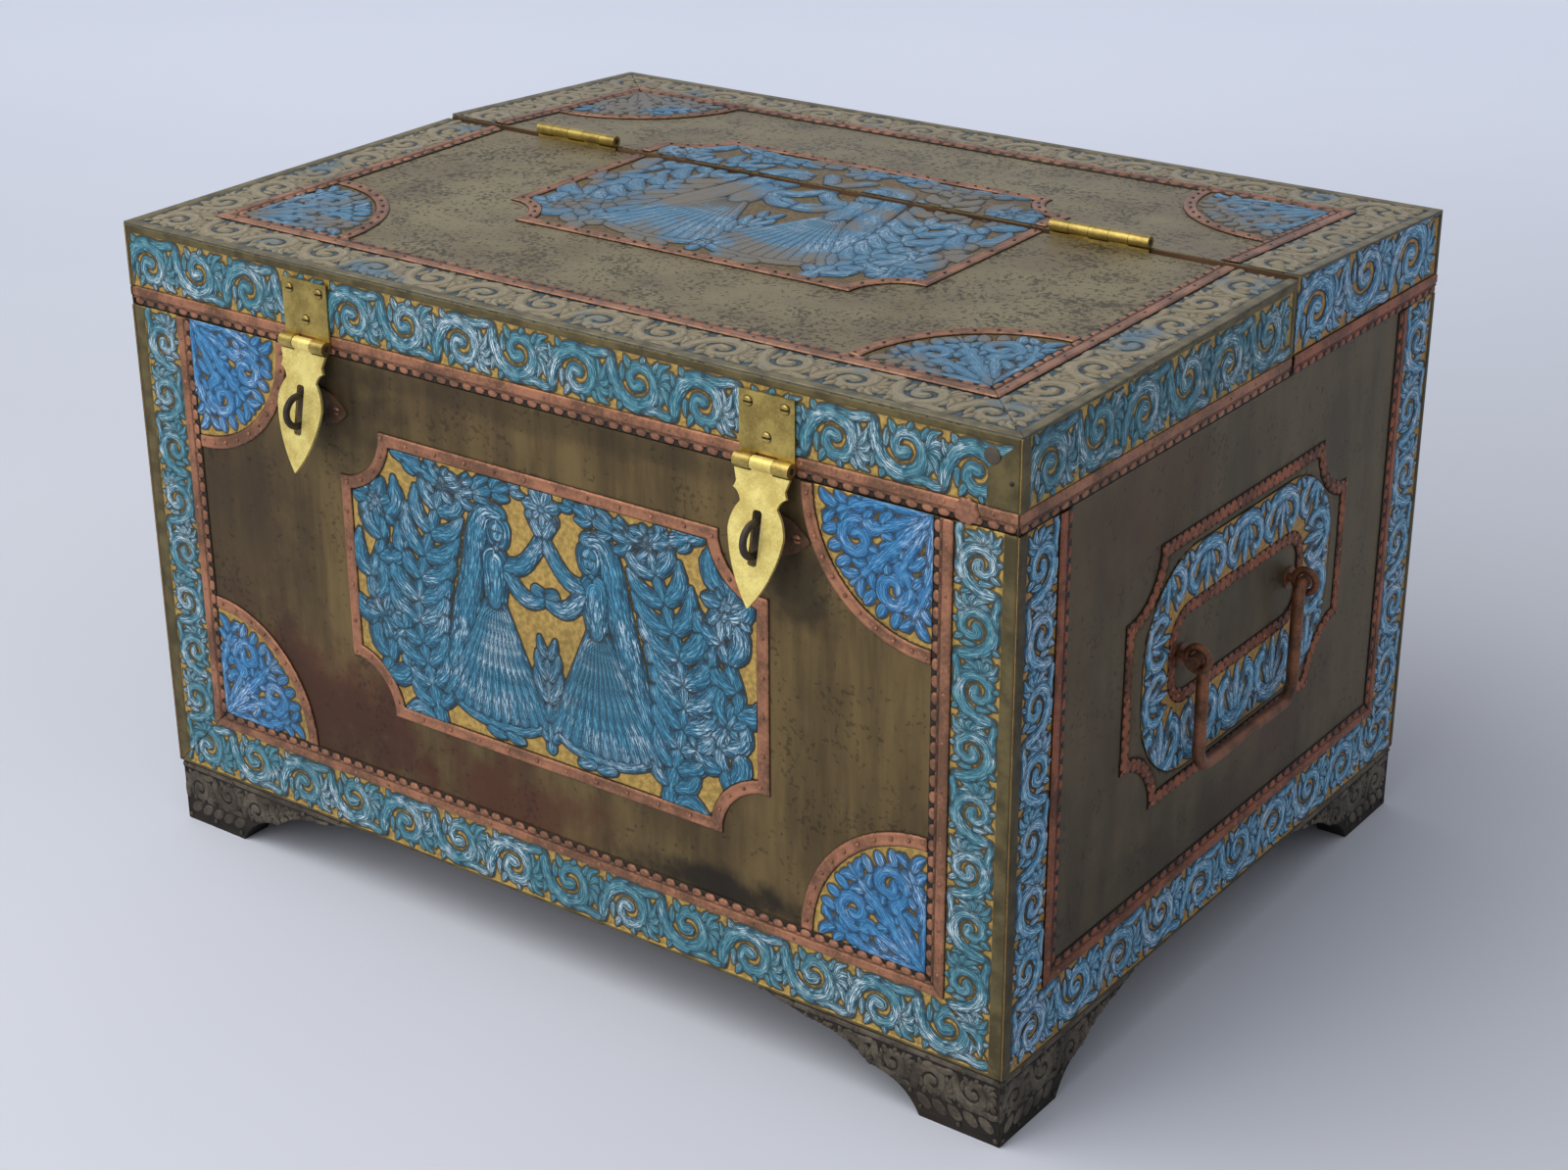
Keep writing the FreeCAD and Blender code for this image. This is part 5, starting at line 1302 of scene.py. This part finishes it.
# %% The front picture and the top picture
def front_picture():
    """Drawn in millimetres about the medallion's middle."""
    made = dancer(-44, -84, 164, 1) + dancer(44, -84, 164, -1)
    made += frond((0, -88), (0, -54), (0, -18), 5, 24, 3.0, 38)
    for side in (-1, 1):
        made += frond((side * 100, -96), (side * 114, -10), (side * 84, 90), 11, 42, 5.2, 60)
        made += vine([(side * 156, -84), (side * 142, -46), (side * 158, -8), (side * 144, 34), (side * 152, 74)], 4.6, 30, 10)
        made += flower(side * 150, 54, 17)
        made += flower(side * 148, -28, 16)
        made += frond((side * 128, 96), (side * 76, 80), (side * 22, 94), 7, 19, 4.0, 44)
    made += flower(0, 84, 13)
    for x in (-150, -118, 118, 150):
        made.append(leaf([(x - 14, -98), (x, -91), (x + 14, -98)], 4.5, root=0.3))
    return made


def top_picture():
    """Drawn in millimetres about the middle of the whole top medallion."""
    made = dancer(-40, -96, 172, 1) + dancer(40, -96, 172, -1)
    made += frond((0, -100), (0, -62), (0, -20), 5, 24, 3.0, 38)
    for side in (-1, 1):
        made += frond((side * 94, -108), (side * 106, -20), (side * 80, 92), 11, 38, 5.0, 60)
        made += vine([(side * 146, -104), (side * 132, -58), (side * 148, -8), (side * 134, 40), (side * 144, 100)], 4.6, 30, 11)
        made += flower(side * 140, -72, 16)
        made += flower(side * 136, 66, 16)
        made += frond((side * 118, 108), (side * 70, 92), (side * 18, 106), 7, 19, 4.0, 44)
    made += flower(0, 94, 13)
    return made


def picture_pattern(picture, middle, scale):
    """A picture laid about a point of the face."""
    return lambda outer, low, high: [s.put(lambda p: middle + p * MM * scale, MM * scale) for s in picture()]


print("strokes in the front picture:", len(front_picture()))

# %% [markdown]
# ## Emboss every painted plate
# Now each painted plate of the frame is replaced by its embossed one. Its piece rides the same
# body as the plate did, so the lid's plates open with the lid. Seen faces get a finer net than
# the hidden left end.

# %% Faces of the chest
FRONT = Face("front_medallion", (1, 0, 0), (0, -1, 0))
RIGHT_END = Face("right_end_medallion", (0, 1, 0), (1, 0, 0))
LEFT_END = Face("left_end_medallion", (0, -1, 0), (-1, 0, 0))
LID_TOP = Face("lid_medallion", (1, 0, 0), (0, 0, 1))
REAR_TOP = Face("rear_medallion", (1, 0, 0), (0, 0, 1))
FINE, MIDDLING, COARSE = 1.15 * MM, 1.35 * MM, 1.8 * MM
print("the lid leans", round(math.degrees(math.asin(-LID_TOP.out.y)), 2), "degrees to the front")


def renew(node, body, finish, jobs):
    """Replaces one node by an embossed piece for each of its faces."""
    for name, face, pattern, spacing, options in jobs:
        made = emboss(name, node, face, pattern, finish, spacing, body, **options)
        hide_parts(node)


# %% Painted bands
CORNER_EDGE = 8.7 * MM
THIN_EDGE = 4 * MM
FOLD_EDGE = 7 * MM
CORNER_FLAP = 22 * MM
LIP = 5 * MM
front_edges = {"left": CORNER_EDGE, "right": CORNER_EDGE, "low": 1.5 * MM}
right_edges = {"left": CORNER_EDGE, "right": THIN_EDGE, "low": 1.5 * MM}
left_edges = {"left": THIN_EDGE, "right": CORNER_EDGE, "low": 1.5 * MM}
rim_edges_of = {"high": LIP, "left": THIN_EDGE, "right": THIN_EDGE}
lid_edges = {"low": FOLD_EDGE, "left": FOLD_EDGE, "right": FOLD_EDGE}
rear_edges = {"high": FOLD_EDGE, "left": FOLD_EDGE, "right": FOLD_EDGE}


def band_job(name, face, edges, spacing, flap=0.0):
    return name, face, band_pattern(edges), spacing, {"margins": edges, "grow": 0.4 * MM, "flap": flap}


renew("front_border_bands", "chest", band_paint, [band_job("front_band_relief", FRONT, front_edges, FINE)])
renew("right_end_border_bands", "chest", end_paint, [band_job("right_end_band_relief", RIGHT_END, right_edges, FINE)])
renew("left_end_border_bands", "chest", end_paint, [band_job("left_end_band_relief", LEFT_END, left_edges, COARSE)])
renew("lid_top_border_bands", "lid", top_band_paint, [band_job("lid_top_band_relief", LID_TOP, lid_edges, FINE)])
renew("rear_top_border_bands", "chest", top_band_paint, [band_job("rear_top_band_relief", REAR_TOP, rear_edges, MIDDLING)])
renew(
    "lid_rim_border_bands",
    "lid",
    band_paint,
    [
        band_job("lid_front_rim_relief", FRONT, rim_edges_of, FINE, CORNER_FLAP),
        band_job("lid_right_rim_relief", RIGHT_END, {**rim_edges_of, "left": CORNER_EDGE}, FINE),
        band_job("lid_left_rim_relief", LEFT_END, rim_edges_of, COARSE),
    ],
)

# %% Fans and pictures
FAN_GROW = {"grow": 0.85 * MM}
renew("front_corner_fans", "chest", fan_paint, [("front_fan_relief", FRONT, fan_pattern, FINE, FAN_GROW)])
renew("lid_corner_fans", "lid", top_fan_paint, [("lid_fan_relief", LID_TOP, fan_pattern, FINE, FAN_GROW)])
renew("rear_corner_fans", "chest", top_fan_paint, [("rear_fan_relief", REAR_TOP, fan_pattern, FINE, FAN_GROW)])


def middle_of(node, face):
    level, regions = plates_on(node, face)
    points = np.vstack([outer for outer, holes in regions])
    return (points.min(0) + points.max(0)) / 2, points.max(0) - points.min(0)


PICTURE_GROW = {"grow": 1.8 * MM}
front_middle, front_size = middle_of("front_medallion", FRONT)
front_scale = front_size[0] / (344 * MM)
pattern = picture_pattern(front_picture, front_middle, front_scale)
renew("front_medallion", "chest", medallion_paint, [("front_picture", FRONT, pattern, FINE, PICTURE_GROW)])
lid_middle, lid_size = middle_of("lid_medallion", LID_TOP)
rear_middle, rear_size = middle_of("rear_medallion", REAR_TOP)
top_height = lid_size[1] + rear_size[1]
lid_share = np.array([lid_middle[0], lid_middle[1] - lid_size[1] / 2 + top_height / 2])
rear_share = np.array([rear_middle[0], rear_middle[1] + rear_size[1] / 2 - top_height / 2])
pattern = picture_pattern(top_picture, lid_share, 1.0)
renew("lid_medallion", "lid", top_fan_paint, [("lid_picture", LID_TOP, pattern, FINE, PICTURE_GROW)])
pattern = picture_pattern(top_picture, rear_share, 1.0)
renew("rear_medallion", "chest", top_fan_paint, [("rear_picture", REAR_TOP, pattern, FINE, PICTURE_GROW)])

# %% The ring on each end, with its plain margin
MARGIN_SUNK = 0.6 * MM
for side, face, spacing, finish in (("right", RIGHT_END, FINE, end_paint), ("left", LEFT_END, COARSE, end_paint)):
    node = f"{side}_end_medallion"
    jobs = [
        (f"{side}_ring_relief", face, ring_pattern(node, face), spacing, {"grow": 0.7 * MM}),
    ]
    renew(node, "chest", finish, jobs)
    renew(node, "chest", end_brass, [(f"{side}_ring_margin", face, None, 3 * MM, {"sunk": MARGIN_SUNK})])

# %% Copper strips, frames and arcs
STRIP_NET = 1.0 * MM
TOOTH_PITCH = 7.5 * MM
for node, body, finish, faces in (
    ("front_copper_strips", "chest", front_copper, [("front_strip_relief", FRONT, STRIP_NET)]),
    ("right_end_copper_strips", "chest", end_copper, [("right_end_strip_relief", RIGHT_END, STRIP_NET)]),
    ("left_end_copper_strips", "chest", end_copper, [("left_end_strip_relief", LEFT_END, MIDDLING)]),
    ("lid_top_copper_strips", "lid", top_copper, [("lid_top_strip_relief", LID_TOP, STRIP_NET)]),
    ("rear_top_copper_strips", "chest", top_copper, [("rear_top_strip_relief", REAR_TOP, STRIP_NET)]),
    (
        "lid_rim_copper_strips",
        "lid",
        front_copper,
        [
            ("lid_front_strip_relief", FRONT, STRIP_NET),
            ("lid_right_strip_relief", RIGHT_END, STRIP_NET),
            ("lid_left_strip_relief", LEFT_END, MIDDLING),
        ],
    ),
):
    teeth = {"teeth": TOOTH_PITCH} if "end" in node else {}
    renew(node, body, finish, [(name, face, strip_pattern, net_size, teeth) for name, face, net_size in faces])

# %% Feet
jobs = [
    (f"{name}_foot_relief", face, foot_pattern, FINE, {"grow": 0.6 * MM})
    for name, face in (("front", FRONT), ("right", RIGHT_END), ("left", LEFT_END))
]
renew("foot_sheets", "chest", foot_bronze, jobs)

# %% [markdown]
# ## Nails and screws
# Hundreds of small nails hold the strips. Geometry Nodes set one head on every point of a
# cloud, turned by the point's own attribute, with a little difference in size. The result is
# made a plain mesh for each body.

# %% The tree that sets a shape on points
def make_set_tree():
    group = bpy.data.node_groups.new("set_on_points", "GeometryNodeTree")
    for name, kind in (
        ("Geometry", "Geometry"), ("Shape", "Object"), ("Finish", "Material"), ("Size", "Float"),
        ("Smallest share", "Float"), ("Seed", "Int"),
    ):
        group.interface.new_socket(name, in_out="INPUT", socket_type=f"NodeSocket{kind}")
    group.interface.new_socket("Geometry", in_out="OUTPUT", socket_type="NodeSocketGeometry")
    tree = Tree(group)
    given = tree.add("NodeGroupInput").outputs
    shape = tree.add("GeometryNodeObjectInfo", {}, Object=given["Shape"])
    turn = tree.add("GeometryNodeInputNamedAttribute", {"data_type": "FLOAT_VECTOR"}, Name="turn")
    rotation = tree.add("FunctionNodeEulerToRotation", {}, Euler=turn.outputs[0])
    low = tree.calc("MULTIPLY", given["Size"], given["Smallest share"])
    random = tree.add("FunctionNodeRandomValue", {"data_type": "FLOAT"}, Seed=given["Seed"])
    floats = [socket for socket in random.inputs if socket.type == "VALUE" and socket.enabled]
    tree.put(floats[0], low)
    tree.put(floats[1], given["Size"])
    size = [socket for socket in random.outputs if socket.type == "VALUE" and socket.enabled][0]
    placed = tree.add("GeometryNodeInstanceOnPoints", {}, Points=given["Geometry"])
    tree.put(placed.inputs["Instance"], shape.outputs["Geometry"])
    tree.put(placed.inputs["Rotation"], rotation.outputs[0])
    tree.put(placed.inputs["Scale"], size)
    real = tree.add("GeometryNodeRealizeInstances", {}, Geometry=placed.outputs[0])
    dressed = tree.add("GeometryNodeSetMaterial", {}, Geometry=real.outputs[0], Material=given["Finish"])
    tree.put(tree.add("NodeGroupOutput").inputs[0], dressed.outputs[0])
    return group


SET_TREE = make_set_tree()


def set_on_points(name, spots, outs, shape, finish, size, smallest, body, seed=3):
    """spots in metres, and for each the direction its head faces."""
    mesh = bpy.data.meshes.new(name + "_points")
    mesh.from_pydata([tuple(p) for p in spots], [], [])
    turns = [tuple(Vector(out).to_track_quat("Z", "Y").to_euler()) for out in outs]
    layer = mesh.attributes.new("turn", "FLOAT_VECTOR", "POINT")
    layer.data.foreach_set("vector", np.array(turns, np.float32).ravel())
    cloud = bpy.data.objects.new(name + "_points", mesh)
    bpy.context.scene.collection.objects.link(cloud)
    modifier = cloud.modifiers.new("set", "NODES")
    modifier.node_group = SET_TREE
    sockets = {s.name: s.identifier for s in SET_TREE.interface.items_tree if s.in_out == "INPUT"}
    for key, value in (
        ("Shape", shape), ("Finish", finish), ("Size", size), ("Smallest share", smallest), ("Seed", seed),
    ):
        modifier[sockets[key]] = value
    graph = bpy.context.evaluated_depsgraph_get()
    made_mesh = bpy.data.meshes.new_from_object(cloud.evaluated_get(graph), depsgraph=graph)
    bpy.data.objects.remove(cloud)
    made = bpy.data.objects.new(name, made_mesh)
    bpy.context.scene.collection.objects.link(made)
    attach(made, body)
    print(f"{name}: {len(spots)} set, {len(made_mesh.polygons)} faces")
    return made


def revolved(name, profile, segments):
    """A closed shape turned about Z from (radius, height) pairs that start and end on the axis."""
    vertices, faces = [(0, 0, profile[0][1])], []
    for radius, height in profile[1:-1]:
        for number in range(segments):
            a = 2 * math.pi * number / segments
            vertices.append((radius * math.cos(a), radius * math.sin(a), height))
    vertices.append((0, 0, profile[-1][1]))
    rings = len(profile) - 2
    for number in range(segments):
        after = (number + 1) % segments
        faces.append((0, 1 + after, 1 + number))
        for ring in range(rings - 1):
            a, b = 1 + ring * segments, 1 + (ring + 1) * segments
            faces.append((a + number, a + after, b + after, b + number))
        last = 1 + (rings - 1) * segments
        faces.append((last + number, last + after, len(vertices) - 1))
    mesh = bpy.data.meshes.new(name)
    mesh.from_pydata(vertices, [], faces)
    for polygon in mesh.polygons:
        polygon.use_smooth = True
    made = bpy.data.objects.new(name, mesh)
    bpy.context.scene.collection.objects.link(made)
    return made


# %% Where the nails go
def nail_places(node, face, pitch):
    level, regions = plates_on(node, face)
    low = np.min([outer.min(0) for outer, holes in regions], axis=0)
    high = np.max([outer.max(0) for outer, holes in regions], axis=0)
    spots = []
    for outer, holes in regions:
        near, far = outer.min(0), outer.max(0)
        if min(far - near) < 3 * MM:
            continue
        if len(outer) == 4:
            along = int(far[1] - near[1] > far[0] - near[0])
            middle, wide = (near + far) / 2, (far - near)[1 - along]
            inward = np.sign(((low + high) / 2 - middle)[1 - along].round(4)) or -1
            count = max(1, round((far - near)[along] / pitch))
            for number in range(count):
                spot = np.zeros(2)
                spot[along] = near[along] + (number + 0.5) / count * (far - near)[along]
                spot[1 - along] = middle[1 - along] - inward * 0.20 * wide
                spots.append(spot)
        else:
            for a in resampled(outer, pitch * 0.8):
                steps = outer - a
                turns = np.linspace(0, 2 * math.pi, 36, endpoint=False)
                ring = a + 4.5 * MM * np.stack([np.cos(turns), np.sin(turns)], 1)
                good = inside(ring, [outer] + holes)
                if good.any():
                    deep = clearance(ring, [outer] + holes) * good
                    spots.append(ring[deep.argmax()])
    kept = []
    for spot in spots:
        if all(np.linalg.norm(spot - other) > 9 * MM for other in kept):
            kept.append(spot)
    heights = np.full((len(kept), 1), level - 0.25 * MM)
    return face.solid(np.hstack([np.array(kept), heights])), [face.out] * len(kept)


NAIL_HEAD = revolved(
    "nail_head",
    [(0, -0.5 * MM), (1.5 * MM, -0.5 * MM), (1.5 * MM, 0.1 * MM), (1.1 * MM, 0.55 * MM), (0, 0.75 * MM)],
    8,
)
NAIL_PITCH = 31.5 * MM
for name, body, finish, size, sets in (
    ("front_nails", "chest", copper, 1.0, [("front_copper_strips", FRONT)]),
    (
        "end_nails",
        "chest",
        copper,
        1.0,
        [("right_end_copper_strips", RIGHT_END), ("left_end_copper_strips", LEFT_END)],
    ),
    ("lid_nails", "lid", copper, 1.0, [("lid_rim_copper_strips", f) for f in (FRONT, RIGHT_END, LEFT_END)]),
    ("lid_top_nails", "lid", dark_brass, 0.9, [("lid_top_copper_strips", LID_TOP)]),
    ("rear_top_nails", "chest", dark_brass, 0.9, [("rear_top_copper_strips", REAR_TOP)]),
    ("foot_nails", "chest", dark_brass, 1.2, [("foot_sheets", f) for f in (FRONT, RIGHT_END, LEFT_END)]),
):
    spots, outs = [], []
    for node, face in sets:
        found, facing = nail_places(node, face, NAIL_PITCH)
        spots += list(found)
        outs += facing
    set_on_points(name, spots, outs, NAIL_HEAD, finish, size, 0.8, body)
bpy.data.objects.remove(NAIL_HEAD)


# %% Slotted screws
def slotted_screw():
    """A domed head in two halves with a slot between them, and the disc at the slot's floor: a dark disc that paints
    shade into the slot and shows a ring of grime round the head.
    """
    vertices, faces = [], []
    for way in (1, -1):
        first = len(vertices)
        turns = np.linspace(math.radians(14), math.radians(166), 9) * way
        for height, share in ((0.0, 1.0), (0.7, 1.0), (1.2, 0.72)):
            for turn in turns:
                x, y = 2.6 * share * math.cos(turn), max(2.6 * share * abs(math.sin(turn)), 0.5) * way
                vertices.append((x * MM, y * MM, height * MM))
        count = len(turns)
        for ring in range(2):
            for number in range(count - 1):
                a = first + ring * count + number
                faces.append((a, a + 1, a + 1 + count, a + count)[:: 1 if way > 0 else -1])
            a, b = first + ring * count, first + ring * count + count - 1
            faces.append((b, a, a + count, b + count)[:: 1 if way > 0 else -1])
        faces.append(tuple(first + 2 * count + i for i in range(count))[:: 1 if way > 0 else -1])
        faces.append(tuple(first + i for i in range(count))[:: -1 if way > 0 else 1])
    mesh = bpy.data.meshes.new("screw")
    mesh.from_pydata(vertices, [], faces)
    made = bpy.data.objects.new("screw", mesh)
    bpy.context.scene.collection.objects.link(made)
    disc = revolved("screw_disc", [(0, -0.3 * MM), (2.9 * MM, -0.3 * MM), (2.9 * MM, 0.1 * MM), (0, 0.1 * MM)], 16)
    return made, disc


def sunk_flat(node, face):
    """How far a node's widest flat lies under its outermost one."""
    corners, normals = triangles_of(node)
    heights = (corners @ np.array(face.out)).mean(1)
    facing = normals @ np.array(face.out) > 0.999
    areas = np.linalg.norm(np.cross(corners[:, 1] - corners[:, 0], corners[:, 2] - corners[:, 0]), axis=1)
    return heights[facing].max() - heights[(areas * facing).argmax()]


SCREW, SCREW_SHADE_DISC = slotted_screw()
level, regions = plates_on("hasp_plates", FRONT, sunk_flat("hasp_plates", FRONT))
plates = [(o.min(0), o.max(0)) for o, holes in regions if np.ptp(o[:, 0]) > 30 * MM and np.ptp(o[:, 1]) > 20 * MM]
spots = []
for low, high in plates:
    inset = 6.5 * MM
    for x, y in ((low[0] + inset, high[1] - inset), (high[0] - inset, high[1] - inset), ((low[0] + high[0]) / 2, low[1] + 12 * MM)):
        spots.append(FRONT.solid(np.array([x, y, level])))
print("hasp plates", [(np.round(a / MM, 1), np.round(b / MM, 1)) for a, b in plates])
outs = [FRONT.out] * len(spots)
set_on_points("hasp_screws", spots, outs, SCREW, bright_brass, 1.2, 1.0, "lid")
# Dark iron discs at the slots' floors: painted shade in each slot, and a ring of grime round each head.
set_on_points("hasp_screw_slots", spots, outs, SCREW_SHADE_DISC, iron, 1.2, 1.0, "lid")
level, regions = plates_on("staple_plates", FRONT)
spots = []
for outer, holes in regions:
    low, high = outer.min(0), outer.max(0)
    print("staple plate", np.round(low / MM, 1), np.round(high / MM, 1), [np.round(h.mean(0) / MM, 1) for h in holes])
    for x in (low[0] + 9 * MM, high[0] - 9 * MM):
        spots.append(FRONT.solid(np.array([x, (low[1] + high[1]) / 2, level - 0.2 * MM])))
outs = [FRONT.out] * len(spots)
set_on_points("staple_screws", spots, outs, SCREW, copper, 1.0, 1.0, "chest")
# Dark iron discs at the slots' floors: painted shade in each slot, and a ring of grime round each head.
set_on_points("staple_screw_slots", spots, outs, SCREW_SHADE_DISC, iron, 1.0, 1.0, "chest")
bpy.data.objects.remove(SCREW)
bpy.data.objects.remove(SCREW_SHADE_DISC)


# %% Rosette and mended patch at the lid's right front corner
def front_button(name, x, z, profile, segments, finish, petals=0):
    made = revolved(name, [(r * MM, h * MM) for r, h in profile], segments)
    turn = Vector(FRONT.out).to_track_quat("Z", "Y").to_matrix()
    level, regions = plates_on("lid_rim_border_bands", FRONT)
    middle = Vector(FRONT.solid(np.array([x, z, level])))
    for vertex in made.data.vertices:
        x, y, z = vertex.co
        if petals:
            share = 1 - 0.16 * (1 - abs(math.cos(petals * math.atan2(y, x) / 2)))
            x, y = x * share, y * share
        vertex.co = turn @ Vector((x, y, z)) + middle
    made.data.materials.append(finish)
    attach(made, "lid")


ROSETTE_PROFILE = [(0, -0.5), (8.2, -0.5), (8.2, 0.3), (6.4, 1.1), (3.4, 0.7), (2.6, 1.0), (1.2, 1.5), (0, 1.6)]
PATCH_PROFILE = [(0, -0.4), (5.2, -0.4), (5.2, 0.25), (4.7, 0.45), (0, 0.5)]
front_button("lid_corner_rosette", 0.316, 0.3992, ROSETTE_PROFILE, 48, copper, 9)
front_button("lid_corner_patch", 0.331, 0.4345, PATCH_PROFILE, 28, dark_brass)
front_button("lid_corner_nail", 0.3435, 0.421, [(0, -0.3), (1.4, -0.3), (1.3, 0.4), (0, 0.6)], 12, iron)

# %% Finish
print("scene built")
